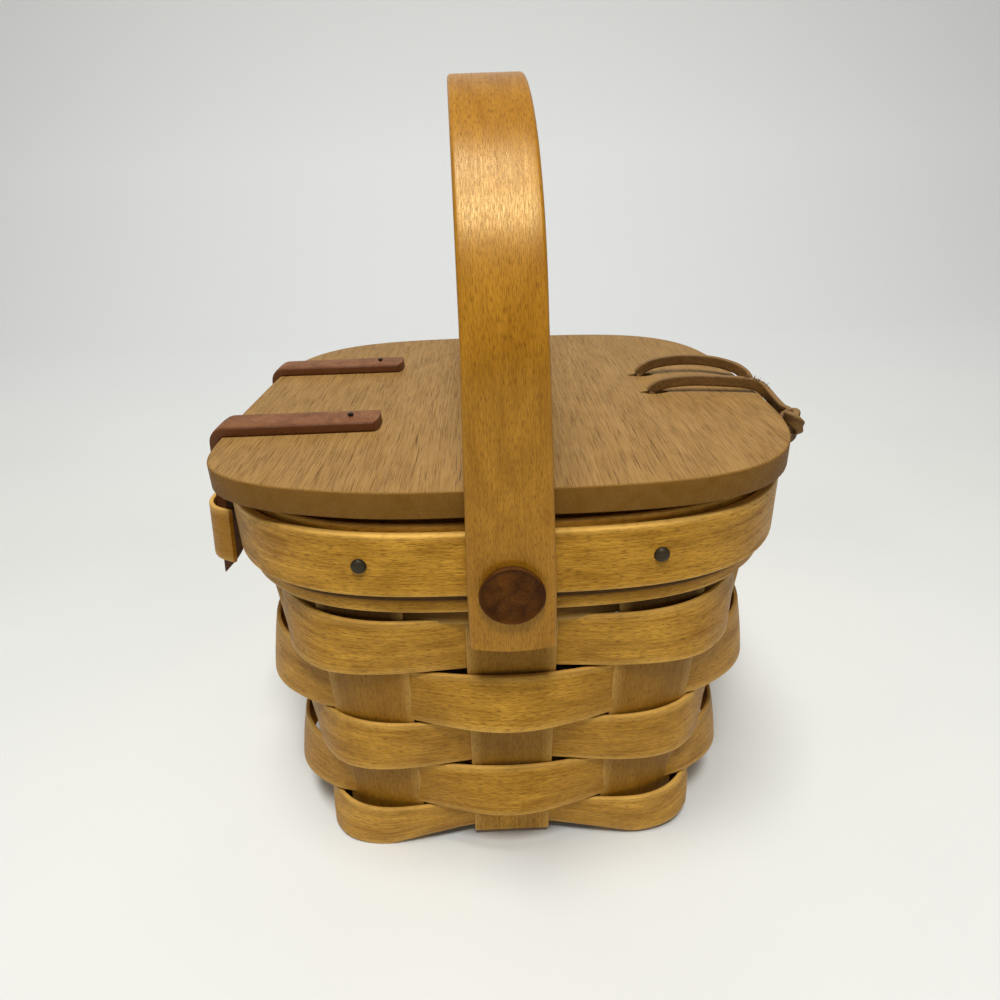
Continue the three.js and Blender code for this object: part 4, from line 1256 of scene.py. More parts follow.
@dataclass
class RimHoops:
    """Three hoops of the rim, from the inside out, and the nails through them."""

    wall: Wall = field(default_factory=Wall)
    edge_radius: float = 0.55 * MM
    # Height and width of the painted shade line under the lower edge of the next hoop out
    shade_line: float = 94.6 * MM
    shade_line_width: float = 1.0 * MM
    stations: int = 48
    face_points: int = 33
    waver: float = 0.12 * MM
    wavers_round: int = 3
    waver_shift: float = 40.0
    draw_power: int = 8
    hoops: tuple[Hoop, ...] = (
        Hoop("inner_hoop", "inner_band", -4.1 * MM, -2.5 * MM, 97.0 * MM, 115.2 * MM, 0.55),
        Hoop("second_hoop", "second_band", 2.5 * MM, 3.9 * MM, 90.5 * MM, 113.3 * MM, 0.3, 0.5 * MM, 2.4),
        Hoop("outer_hoop", "outer_band", 4.2 * MM, 6.4 * MM, 96.2 * MM, 111.8 * MM, 0.2),
    )
    nail_sides: tuple = (
        (Side.FRONT, ("left", "right")), (Side.RIGHT, ("front", "back")), (Side.BACK, ("left", "right")),
    )

    def grid(self, hoop: Hoop) -> Grid:
        """One hoop: a strip profile carried round the rim's plan, with a slight waver of its edges.

        It draws in at the corners by a high power of the way along a side, and its painted shade line, just
        under the next hoop out, is a bell curve of the height.

        Args:
            hoop: the hoop's sizes.

        Returns:
            The hoop's surface.
        """
        side, share = ring_stations(self.stations)
        height, depth = hoop.top - hoop.bottom, hoop.outside - hoop.inside
        a, b, edge, _ = strip_profile(height, depth, self.edge_radius, self.face_points)
        level = self.wall.flare_top
        u = self.wall.reach(level) * share
        turn = (side + share / 2) * math.pi / 2
        waver = self.waver * np.sin(self.wavers_round * turn + self.waver_shift * hoop.tone)
        z = (hoop.bottom + hoop.top) / 2 + a + waver * np.abs(a) / np.max(np.abs(a))
        offset = (hoop.inside + hoop.outside) / 2 + b - hoop.draw * share**self.draw_power
        points = self.wall.point(side, u, z, offset, level)
        along = run_length(points.mean(axis=1), True) + HOOP_MAP_START + HOOP_MAP_STEP * hoop.tone
        # Painted shade line under the lower edge of the next hoop out
        dark = hoop.shade_line_tone * np.exp(-(((z - self.shade_line) / self.shade_line_width) ** 2))
        return Grid(points, along, loop_map(a), True, edge, hoop.tone + dark)

    def build(self, shop: Workshop) -> None:
        """Builds the hoops and their nails.

        Args:
            shop: where the pieces go.
        """
        for hoop in self.hoops:
            shop.fix(hoop.name, self.grid(hoop).mesh(hoop.name), Slot.SPLINT, Body.BASKET, hoop.node)
        for side, ends in self.nail_sides:
            for end in ends:
                name = f"nail_{side.name.lower()}_{end}"
                mesh = DomedNail().mesh(f"hoop_{name}", f"band_{name}", side)
                shop.fix(f"hoop_{name}", mesh, Slot.NAIL, Body.BASKET, f"band_{name}")


@dataclass(frozen=True)
class DomedNail:
    """Domed nail with a shank into the rim, in the place of its CAD node.

    Attributes:
        crown: height of the head.
        shank: radius of the shank, as a share of the head's radius.
        sides: stations round the nail.
        head: radius and height of the head's outline as shares, and its nearness to an edge.
    """

    crown: float = 1.1 * MM
    shank: float = 0.36
    sides: int = 28
    head: tuple = (
        (0.0, 1.0, 0.0), (0.45, 0.95, 0.0), (0.78, 0.72, 0.15), (0.94, 0.42, 0.6), (1.0, 0.1, 1.0),
        (0.97, -0.12, 1.0), (0.36, -0.14, 1.0),
    )

    def mesh(self, name: str, node: str, side: Side) -> bpy.types.Mesh:
        """Builds the nail.

        Args:
            name: the mesh's name.
            node: the CAD node.
            side: the side that it faces.

        Returns:
            The mesh.
        """
        low, high = (np.array(corner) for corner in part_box(node))
        x, y = turn_side(side.value, 0.0, 1.0)
        out = np.array([float(x), float(y), 0.0])
        axis = int(np.argmax(np.abs(out)))
        near, far = (high, low) if out[axis] > 0 else (low, high)
        radius = (high[2] - low[2]) / 2
        place = (low + high) / 2
        place[axis] = near[axis] - out[axis] * self.crown
        length = abs(near[axis] - far[axis]) - self.crown
        head = np.array(self.head) * [radius, self.crown, 1.0]
        tail = [(self.shank * radius, -length, 1.0), (0.0, -length, 1.0)]
        profile = np.concatenate([head, tail])
        return lathe(name, profile[:, :2], place, out, self.sides, profile[:, 2])


@dataclass
class SwingHandle:
    """Bent strip handle on two disc rivets."""

    face: float = 79.0 * MM
    thickness: float = 3.8 * MM
    foot_width: float = 19.4 * MM
    grip_width: float = 16.6 * MM
    bend_radius: float = 55.1 * MM
    top: float = 201.5 * MM
    foot: float = 84.4 * MM
    foot_curve: float = 1.2 * MM
    pivot: float = 100.1 * MM
    taper: float = 56.0 * MM
    edge_radius: float = 0.9 * MM
    side_bow: float = 1.9 * MM
    bow_power: float = 1.5
    stations: int = 181
    face_points: int = 11
    tone: float = 0.3
    # Rivets
    rivet_radius: float = 7.2 * MM
    rivet_height: float = 1.8 * MM
    rivet_shank: float = 2.5 * MM
    rivet_sides: int = 72
    # Radius and height of the disc's outline as shares, and its nearness to an edge
    rivet_disc: tuple = (
        (0.0, 0.80, 0.0), (0.25, 0.81, 0.0), (0.5, 0.80, 0.1), (0.78, 0.80, 0.25), (0.88, 0.81, 0.7),
        (0.915, 0.92, 0.9), (0.945, 1.0, 0.35), (0.975, 0.96, 0.3), (1.0, 0.82, 0.8), (0.93, 0.1, 1.0),
        (0.92, 0.0, 1.0),
    )

    def line(self, s: Array) -> tuple[Array, Array, Array, Array]:
        """Middle line of the handle: a leg, a quarter circle, a flat grip, a quarter circle and a leg.

        Args:
            s: distance along it from the front foot.

        Returns:
            The place in y and z, and the outward direction in y and z.
        """
        middle = self.face - self.thickness / 2
        bend_z = self.top - self.thickness / 2 - self.bend_radius
        bend_y = middle - self.bend_radius
        leg = bend_z - self.foot
        half = leg + self.bend_radius * math.pi / 2 + bend_y
        t = half - np.abs(s - half)
        angle = np.clip((t - leg) / self.bend_radius, 0, math.pi / 2)
        grip = np.maximum(0, t - leg - self.bend_radius * math.pi / 2)
        away = bend_y + self.bend_radius * np.cos(angle) - grip
        z = np.minimum(self.foot + t, bend_z) + self.bend_radius * np.sin(angle)
        way = np.where(s < half, -1.0, 1.0)
        return way * away, z, way * np.cos(angle), np.sin(angle)

    def strip(self) -> Grid:
        """The handle: a strip profile carried along its line, narrower at the grip, with bowed feet.

        The arch also bows to the left by a power of a cosine, as bent by hand.

        Returns:
            The handle's surface.
        """
        width = self.foot_width
        a, b, edge, mirror = strip_profile(width, self.thickness, self.edge_radius, self.face_points)
        middle = self.face - self.thickness / 2
        leg = self.top - self.thickness / 2 - self.bend_radius - self.foot
        whole = 2 * (leg + self.bend_radius * math.pi / 2 + middle - self.bend_radius)
        start = np.linspace(0, whole, self.stations)[:, None]
        curve = self.foot_curve * (2 * a / width) ** 2
        s = curve + start * (whole - 2 * curve) / whole
        y, z, out_y, out_z = self.line(s)
        near = np.minimum(s, whole - s) - (self.pivot - self.foot)
        share = np.clip(near / self.taper, 0, 1)
        bow = self.side_bow * np.cos(np.clip(y / middle, -1, 1) * math.pi / 2) ** self.bow_power
        x = a * (width + (self.grip_width - width) * share) / width - bow
        points = np.stack(np.broadcast_arrays(x, y + b * out_y, z + b * out_z), axis=-1)
        along = start[:, 0] + HANDLE_MAP_START
        return Grid(points, along, loop_map(a), False, edge, self.tone, mirror)

    def rivet(self, name: str, way: int) -> bpy.types.Mesh:
        """Disc rivet: a flat plate with a thin raised rim, an undercut back and a shank through the bands.

        Args:
            name: the mesh's name.
            way: -1 at the front and 1 at the back.

        Returns:
            The mesh.
        """
        h = self.rivet_height
        low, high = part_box(f"handle_rivet_{'front' if way < 0 else 'back'}")
        length = high[1] - low[1] - h
        seat = np.array([0.0, (high[1] if way > 0 else low[1]) - way * h, self.pivot])
        disc = np.array(self.rivet_disc) * [self.rivet_radius, h, 1.0]
        shank = [(self.rivet_shank, 0.0, 1.0), (self.rivet_shank, -length, 1.0), (0.0, -length, 1.0)]
        profile = np.concatenate([disc, shank])
        direction = np.array([0.0, float(way), 0.0])
        return lathe(name, profile[:, :2], seat, direction, self.rivet_sides, profile[:, 2])

    def build(self, shop: Workshop) -> None:
        """Builds the handle and its rivets, and dresses the burrs.

        Args:
            shop: where the pieces go.
        """
        shop.fix("bent_handle", self.strip().mesh("bent_handle"), Slot.HANDLE, Body.HANDLE, "handle")
        for way, end in ((-1, "front"), (1, "back")):
            name = f"disc_rivet_{end}"
            shop.fix(name, self.rivet(name, way), Slot.RIVET, Body.BASKET, f"handle_rivet_{end}")
            shop.dress(f"rivet_burr_{end}", Slot.RIVET)


@dataclass
class BoardLid:
    """Lid board with bowed sides, rounded corners and two slits for the thong."""

    half: float = 73.6 * MM
    squareness: float = 3.75
    bottom: float = 115.5 * MM
    thickness: float = 6.4 * MM
    edge_radius: float = 0.45 * MM
    # Middle and spread in degrees, and size, of each bell curve
    corner_bumps: tuple = ((217.0, 9.0, 2.6 * MM), (238.0, 10.0, -1.1 * MM))
    stations: int = 240
    face_rings: int = 12
    edge_rings: int = 6
    inmost_ring: float = 0.02
    face_edge: float = 0.3
    tone: float = 0.3
    slit_x: float = 45.0 * MM
    slit_y: tuple[float, float] = (-9.0 * MM, 10.0 * MM)
    slit_half_length: float = 4.4 * MM
    slit_half_width: float = 2.0 * MM
    slit_points: int = 13
    slit_overrun: float = 5.0 * MM

    def board(self) -> Grid:
        """The board: rings from the middle of the top, over the edge, to the middle of the underside.

        Each ring is the outline |x|^n + |y|^n = h^n scaled about the middle, and the edges are quarter
        circles. Two bell curves of the angle make the front left corner fuller, as it was cut.

        Returns:
            The board's surface, with each ring as a column and a small ring at each end.
        """
        angle = np.linspace(0, 2 * math.pi, self.stations, endpoint=False)[:, None]
        power = 2 / self.squareness
        x = np.sign(np.cos(angle)) * np.abs(np.cos(angle)) ** power
        y = np.sign(np.sin(angle)) * np.abs(np.sin(angle)) ** power
        way = np.degrees(np.arctan2(y, x)) % 360
        bump = 0.0
        for middle, spread, size in self.corner_bumps:
            bump = bump + size * np.exp(-(((way - middle) / spread) ** 2))
        full = 1 + bump / (self.half * np.hypot(x, y))
        x, y = x * full, y * full
        r = self.edge_radius
        bend = np.linspace(0, math.pi / 2, self.edge_rings)
        flat = np.linspace(self.inmost_ring, 1, self.face_rings) * (self.half - r)
        top_edge, bottom_edge = r - r * np.sin(bend[1:]), r - r * np.cos(bend)
        inset = np.concatenate([self.half - flat, top_edge, bottom_edge, self.half - flat[::-1][1:]])
        fall = np.concatenate([0 * flat, r - r * np.cos(bend[1:])])
        rise = np.concatenate([r - r * np.sin(bend), 0 * flat[1:]])
        z = np.concatenate([self.bottom + self.thickness - fall, self.bottom + rise])
        size = self.half - inset
        over = np.linspace(self.face_edge, 1, self.edge_rings - 1)
        under = np.full(self.face_rings - 1, self.face_edge)
        edge = np.concatenate([0 * flat, over, np.ones(self.edge_rings), under])
        points = np.stack(np.broadcast_arrays(x * size, y * size, z + 0 * x), axis=-1)
        along = run_length(points.mean(axis=1), True)
        return Grid(points, along, loop_map(size), True, edge, self.tone)

    def slit_cutter(self, y: float) -> bpy.types.Object:
        """Lens-shaped prism through the board: two arcs that meet in points, y = w (1 - (x / l)^2).

        Args:
            y: place of the slit.

        Returns:
            The cutting object.
        """
        x = np.linspace(-1, 1, self.slit_points)
        bow = self.slit_half_width * (1 - x**2)
        outline = np.concatenate([
            np.stack([self.slit_x + self.slit_half_length * x, y + bow], -1),
            np.stack([self.slit_x + self.slit_half_length * x, y - bow], -1)[-2:0:-1],
        ])
        count = len(outline)
        low = np.column_stack([outline, np.full(count, self.bottom - self.slit_overrun)])
        top = self.bottom + self.thickness + self.slit_overrun
        high = np.column_stack([outline, np.full(count, top)])
        j = np.arange(count)
        walls = np.stack([j, (j + 1) % count, (j + 1) % count + count, j + count], -1).tolist()
        mesh = bpy.data.meshes.new("slit_cutter")
        ends = [j.tolist(), (j[::-1] + count).tolist()]
        mesh.from_pydata(np.concatenate([low, high]).tolist(), [], walls + ends)
        cutter = bpy.data.objects.new("slit_cutter", mesh)
        bpy.context.scene.collection.objects.link(cutter)
        return cutter

    def build(self, shop: Workshop) -> None:
        """Builds the board and cuts its slits.

        Args:
            shop: where the piece goes.
        """
        mesh = closed_disc(self.board(), "lid_board_top")
        piece = shop.place("lid_board_top", mesh, Slot.LID, ("lid_board",))
        cutters = [self.slit_cutter(y) for y in self.slit_y]
        for cutter in cutters:
            cut = piece.modifiers.new("slit", "BOOLEAN")
            cut.operation = "DIFFERENCE"
            cut.solver = "EXACT"
            cut.object = cutter
        graph = bpy.context.evaluated_depsgraph_get()
        finished = bpy.data.meshes.new_from_object(piece.evaluated_get(graph))
        piece.modifiers.clear()
        piece.data = finished
        finished.set_sharp_from_angle(angle=SHARP_ANGLE)
        for cutter in cutters:
            bpy.data.objects.remove(cutter)
        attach(piece, Body.LID.value)


@dataclass
class HingeStraps:
    """Two leather straps over the left edge of the lid, their tacks, and the keeper strip with its nails."""

    # Straps
    offset: float = 29.5 * MM
    width: float = 10.6 * MM
    thickness: float = 2.6 * MM
    reach: float = -32.3 * MM
    lid_top: float = 121.9 * MM
    bend_x: float = -71.7 * MM
    bend_radius: float = 3.2 * MM
    lean: float = math.radians(5.6)
    tip: float = 80.7 * MM
    hinge: float = 113.65 * MM
    hinge_x: float = -75.54 * MM
    end_curve: float = 1.2 * MM
    skive: float = 3.4 * MM
    crown: float = 0.2 * MM
    rest_gap: float = 0.05 * MM
    edge_radius: float = 0.6 * MM
    stations: int = 151
    tone: float = 0.4
    waver: float = 0.03
    waver_length: float = 14.0 * MM
    dark_side: float = 0.7 * MM
    dark_fade: float = 0.5 * MM
    dark_under: float = 1.3
    bend_half: float = 2.6 * MM
    # Keeper over the tails
    keeper_middle: float = 97.6 * MM
    keeper_height: float = 15.4 * MM
    keeper_thickness: float = 1.2 * MM
    keeper_straight: float = 34.0 * MM
    keeper_radius: float = 9.0 * MM
    keeper_turn: float = math.radians(62)
    keeper_end: float = 3.2 * MM
    keeper_above_tip: float = 20.0 * MM
    keeper_seat: float = 0.6
    keeper_edge: float = 0.4 * MM
    keeper_stations: int = 121
    # Painted shade: the keeper is deeper in colour, most where its ends curl into the corners
    keeper_shade_tone: float = 0.5
    # Tacks on the lid
    tack_radius: float = 0.8 * MM
    tack_sink: float = 0.75 * MM
    tack_crown: float = 0.8 * MM
    tack_shank: float = 0.6
    tack_sides: int = 24
    # Radius as a share, height and nearness to an edge of the tack head's outline
    tack_head: tuple = (
        (0.0, 0.5 * MM, 0.2), (0.5, 0.48 * MM, 0.3), (0.85, 0.38 * MM, 0.6), (1.0, 0.12 * MM, 1.0),
        (0.95, -0.1 * MM, 1.0), (0.6, -0.12 * MM, 1.0),
    )

    def level(self) -> float:
        """Returns the height of a strap's middle on the lid."""
        return self.lid_top + self.thickness / 2 + self.rest_gap

    def line(self, s: Array) -> tuple[Array, Array, Array, Array]:
        """Middle line of a strap: flat on the lid, an arc over its edge, and straight down, leaning out.

        Args:
            s: distance along it from the end on the lid.

        Returns:
            The place in x and z, and the outward direction in x and z.
        """
        flat = self.reach - self.bend_x
        turn = math.pi / 2 - self.lean
        angle = np.clip((s - flat) / self.bend_radius, 0, turn)
        drop = np.maximum(0, s - flat - self.bend_radius * turn)
        x = self.reach - np.minimum(s, flat) - self.bend_radius * np.sin(angle) - drop * math.cos(turn)
        z = self.level() - self.bend_radius * (1 - np.cos(angle)) - drop * math.sin(turn)
        return x, z, -np.sin(angle), np.cos(angle)

    def length(self) -> float:
        """Length of a strap: its flat stretch, its arc and its tail.

        Returns:
            The length from its end on the lid to its tip.
        """
        turn = math.pi / 2 - self.lean
        foot = self.level() - self.bend_radius * (1 - math.cos(turn))
        return self.reach - self.bend_x + self.bend_radius * turn + (foot - self.tip) / math.sin(turn)

    def strap(self, way: int) -> Grid:
        """One strap: a soft strip profile carried along its line, with round ends and a skived tip.

        The leather is crowned in the middle, and its width wavers a little.

        Args:
            way: -1 for the front strap and 1 for the back one.

        Returns:
            The strap's surface.
        """
        a, b, _, mirror = strip_profile(self.width, self.thickness, self.edge_radius, across=15, arc=6)
        whole = self.length()
        start = np.linspace(0, whole, self.stations)[:, None]
        bow = (2 * a / self.width) ** 4
        inner = np.clip(0.5 - b / self.thickness, 0, 1)
        tail = self.end_curve * bow + self.skive * inner
        s = self.end_curve * bow + start * (whole - self.end_curve * bow - tail) / whole
        x, z, out_x, out_z = self.line(s)
        through = b + self.crown * (1 - bow) * np.clip(b / self.thickness, 0, 1) * 2
        y = way * self.offset + a * (1 + self.waver * np.sin(s / self.waver_length + way))
        points = np.stack(np.broadcast_arrays(x + through * out_x, y, z + through * out_z), axis=-1)
        side = np.clip((np.abs(a) - self.width / 2 + self.dark_side) / self.dark_fade, 0, 1)
        edge = np.maximum(np.clip(1 - (b / self.thickness + 0.5) * self.dark_under, 0, 1), side)
        return Grid(points, start[:, 0], loop_map(a), False, edge, self.tone, mirror)

    def keeper(self) -> Grid:
        """The keeper: a flat strip profile carried over both straps, whose ends curl in to the rim.

        In plan it is a straight line, an arc at each end, and a short straight end. It leans with the straps.

        Returns:
            The keeper's surface.
        """
        a, b, edge, mirror = strip_profile(self.keeper_height, self.keeper_thickness, self.keeper_edge)
        arc = self.keeper_radius * self.keeper_turn
        half = self.keeper_straight + arc + self.keeper_end
        s = np.linspace(-half, half, self.keeper_stations)[:, None]
        past = np.abs(s) - self.keeper_straight
        turn = np.clip(past / self.keeper_radius, 0, self.keeper_turn)
        end = np.maximum(0, past - arc)
        y = np.minimum(np.abs(s), self.keeper_straight) + self.keeper_radius * np.sin(turn)
        y = np.sign(s) * (y + end * math.cos(self.keeper_turn))
        inward = self.keeper_radius * (1 - np.cos(turn)) + end * math.sin(self.keeper_turn)
        strap_x, strap_z, _, _ = self.line(np.array(self.length() - self.keeper_above_tip))
        face = float(strap_x) + (self.keeper_middle - float(strap_z)) * math.tan(self.lean)
        start = face - self.thickness / 2 - self.crown - self.keeper_seat * self.keeper_thickness
        x = start + inward - b * np.cos(turn) + a * math.sin(self.lean)
        y = y + b * np.sin(turn) * np.sign(s)
        z = self.keeper_middle + a * math.cos(self.lean)
        points = np.stack(np.broadcast_arrays(x, y, z), axis=-1)
        # Painted shade, deepening towards the curled ends
        tone = self.keeper_shade_tone * (1 + turn / self.keeper_turn)
        return Grid(points, s[:, 0] + KEEPER_MAP_START, loop_map(a), False, edge, tone, mirror)

    def tack(self, name: str, node: str) -> bpy.types.Mesh:
        """Small tack with a low head, in the place of its CAD node.

        Args:
            name: the mesh's name.
            node: the CAD node.

        Returns:
            The mesh.
        """
        low, high = (np.array(corner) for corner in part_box(node))
        seat = np.append((low[:2] + high[:2]) / 2, high[2] - self.tack_sink)
        length = high[2] - low[2] - self.tack_crown
        head = np.array(self.tack_head) * [self.tack_radius, 1.0, 1.0]
        shank = [(self.tack_shank * self.tack_radius, -length, 1.0), (0.0, -length, 1.0)]
        profile = np.concatenate([head, shank])
        return lathe(name, profile[:, :2], seat, np.array([0.0, 0.0, 1.0]), self.tack_sides, profile[:, 2])

    def build(self, shop: Workshop) -> None:
        """Builds the straps, the keeper and their fasteners.

        Args:
            shop: where the pieces go.
        """
        for way, end in ((-1, "front"), (1, "back")):
            name = f"leather_strap_{end}"
            nodes = (f"hinge_strap_{end}_lid", f"hinge_strap_{end}_rim")
            piece = shop.place(name, self.strap(way).mesh(name), Slot.STRAP, nodes)
            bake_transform(piece)
            name, node = f"strap_tack_head_{end}", f"strap_tack_{end}"
            shop.fix(name, self.tack(name, node), Slot.NAIL, Body.LID, node)
            name, node = f"keeper_pin_{end}", f"keeper_nail_{end}"
            shop.fix(name, DomedNail().mesh(name, node, Side.LEFT), Slot.NAIL, Body.BASKET, node)
        shop.fix("strap_keeper", self.keeper().mesh("strap_keeper"), Slot.SPLINT, Body.BASKET, "hinge_keeper")


@dataclass
class PullThong:
    """Leather lace through the two slits of the lid, with a knot over its right edge."""

    # Where the routes start, in millimetres as they are
    slit_x: float = 44.0
    lid_top: float = 121.9
    width: float = 3.2 * MM
    thickness: float = 1.7 * MM
    steps: int = 10
    # Points of each route from the slits and the lid's top, in millimetres
    front_route: tuple = (
        (0.0, -9.0, -5.4), (0.0, -9.0, -0.7), (0.6, -9.0, 1.0), (2.4, -9.1, 2.1), (5.5, -9.4, 2.9),
        (12.0, -9.7, 3.3), (20.0, -11.3, 3.2), (26.0, -12.4, 2.8), (29.6, -13.6, 2.0), (31.3, -16.6, 0.5),
        (31.7, -21.0, -0.5), (31.6, -27.0, -0.9), (32.0, -30.1, -0.9),
    )
    back_route: tuple = (
        (0.0, 10.0, -5.4), (0.0, 10.0, -0.7), (0.6, 10.0, 1.2), (2.4, 10.2, 2.5), (5.5, 10.6, 3.5),
        (12.0, 11.4, 4.0), (18.5, 10.6, 4.0), (23.5, 8.0, 3.8), (27.2, 5.0, 3.2), (29.6, 2.8, 2.3),
        (31.7, 0.6, 0.3), (32.3, -4.0, -3.0), (32.2, -12.0, -4.6), (32.1, -20.0, -4.9),
        (32.0, -27.0, -5.0), (32.1, -30.1, -4.5),
    )
    under_route: tuple = (
        (0.0, -9.0, -5.4), (0.0, -8.6, -6.9), (0.0, -7.2, -8.3), (0.0, 0.5, -8.6), (0.0, 8.2, -8.3),
        (0.0, 9.6, -6.9), (0.0, 10.0, -5.4),
    )
    # Where both strands end, and how far in from there the knot is tied, in millimetres
    knot: tuple = (76.2, -33.6, 119.2)
    knot_in: float = 0.8
    knot_size: float = 1.426 * MM
    knot_shape: tuple[float, float, float] = (0.9, 0.62, 0.78)
    knot_opening: float = 0.25
    knot_points: int = 120
    knot_thickness: float = 2.2 * MM
    knot_tone: float = 0.5
    fibres: int = 44
    fibre_seed: int = 11
    # Points of the front route that the fibres grow between, and the ranges that each fibre is drawn from,
    # with places and lengths in millimetres
    fibre_stretch: tuple[int, int] = (6, 11)
    fibre_out: tuple[float, float] = (25.0, 31.4)
    fibre_side: tuple[float, float] = (-0.7, 0.7)
    fibre_lean: tuple = ((0.1, 1.0), (-0.5, 0.7), (0.3, 1.0))
    fibre_length: tuple[float, float] = (0.7, 2.0)
    fibre_rise: float = 1.4
    fibre_radius: float = 0.16 * MM
    fibre_tone: float = 0.2

    def knot_path(self) -> Array:
        """Overhand knot, drawn out along the lid's edge.

        It is the curve x = sin t + 2 sin 2t, y = cos t - 2 cos 2t, z = -sin 3t, opened a little.

        Returns:
            The points of the knot, with a short tail at each end.
        """
        t = np.linspace(self.knot_opening, 2 * math.pi - self.knot_opening, self.knot_points)
        along = np.sin(t) + 2 * np.sin(2 * t)
        up = np.cos(t) - 2 * np.cos(2 * t)
        turns = np.stack([-np.sin(3 * t), along, up], -1) * self.knot_shape * self.knot_size
        return turns + (np.array(self.knot) - [self.knot_in, 0.0, 0.0]) * MM

    def fibre_points(self) -> tuple[Array, list]:
        """Loose fibres on the worn lace near the lid's edge: thin three-sided spikes.

        Returns:
            The points and the faces of every fibre.
        """
        random = np.random.default_rng(self.fibre_seed)
        count = self.fibres
        first, last = self.fibre_stretch
        out, y, rise = np.array(self.front_route[first:last]).T
        at = random.uniform(*self.fibre_out, count)
        across = np.interp(at, out, y) + random.uniform(*self.fibre_side, count)
        up = np.interp(at, out, rise) + self.lid_top + self.fibre_rise
        root = np.stack([at + self.slit_x, across, up], -1) * MM
        lean = np.stack([random.uniform(*limits, count) for limits in self.fibre_lean], -1)
        lean /= np.linalg.norm(lean, axis=1, keepdims=True)
        tip = root + lean * random.uniform(*self.fibre_length, count)[:, None] * MM
        angle = np.arange(3) * 2 * math.pi / 3
        foot = np.stack([np.cos(angle), np.sin(angle), 0 * angle], -1) * self.fibre_radius
        points = np.concatenate([(root[:, None] + foot).reshape(-1, 3), tip])
        base = np.arange(count) * 3
        top = 3 * count + np.arange(count)
        faces = [np.stack([base + k, base + (k + 1) % 3, top], -1) for k in range(3)]
        faces.append(np.stack([base + 2, base + 1, base], -1))
        return points, np.concatenate(faces).tolist()

    def line(self, route: tuple) -> Array:
        """Returns a smooth line along a route, in metres and in the basket's frame."""
        return smooth_path((np.array(route) + [self.slit_x, 0.0, self.lid_top]) * MM, self.steps)

    def strand(self, shop: Workshop, name: str, line: Array) -> bpy.types.Object:
        """Returns one stretch of lace along a line, which rides on the lid and stands for the CAD thong."""
        mesh = lace(line, self.width, self.thickness).mesh(name)
        return shop.fix(name, mesh, Slot.THONG, Body.LID, "pull_thong")

    def build(self, shop: Workshop) -> None:
        """Builds both strands, the loop under the lid, the knot and the loose fibres.

        Args:
            shop: where the pieces go.
        """
        mesh = lace(self.knot_path(), self.width, self.knot_thickness, self.knot_tone).mesh("lace_knot")
        knot = shop.fix("lace_knot", mesh, Slot.THONG, Body.LID, "thong_knot")
        end = tuple(np.subtract(self.knot, (self.slit_x, 0.0, self.lid_top)))
        for name, route in (("lace_front", self.front_route), ("lace_back", self.back_route)):
            line = self.line(route + (end,))
            piece = self.strand(shop, name, line)
        self.strand(shop, "lace_under_lid", self.line(self.under_route))
        points, faces = self.fibre_points()
        mesh = bpy.data.meshes.new("lace_fibres")
        mesh.from_pydata(points.tolist(), [], faces)
        add_attribute(mesh, "edge", np.zeros(len(points)))
        add_attribute(mesh, "tone", np.full(len(points), self.fibre_tone))
        shop.fix("lace_fibres", mesh, Slot.THONG, Body.LID)


# Studio


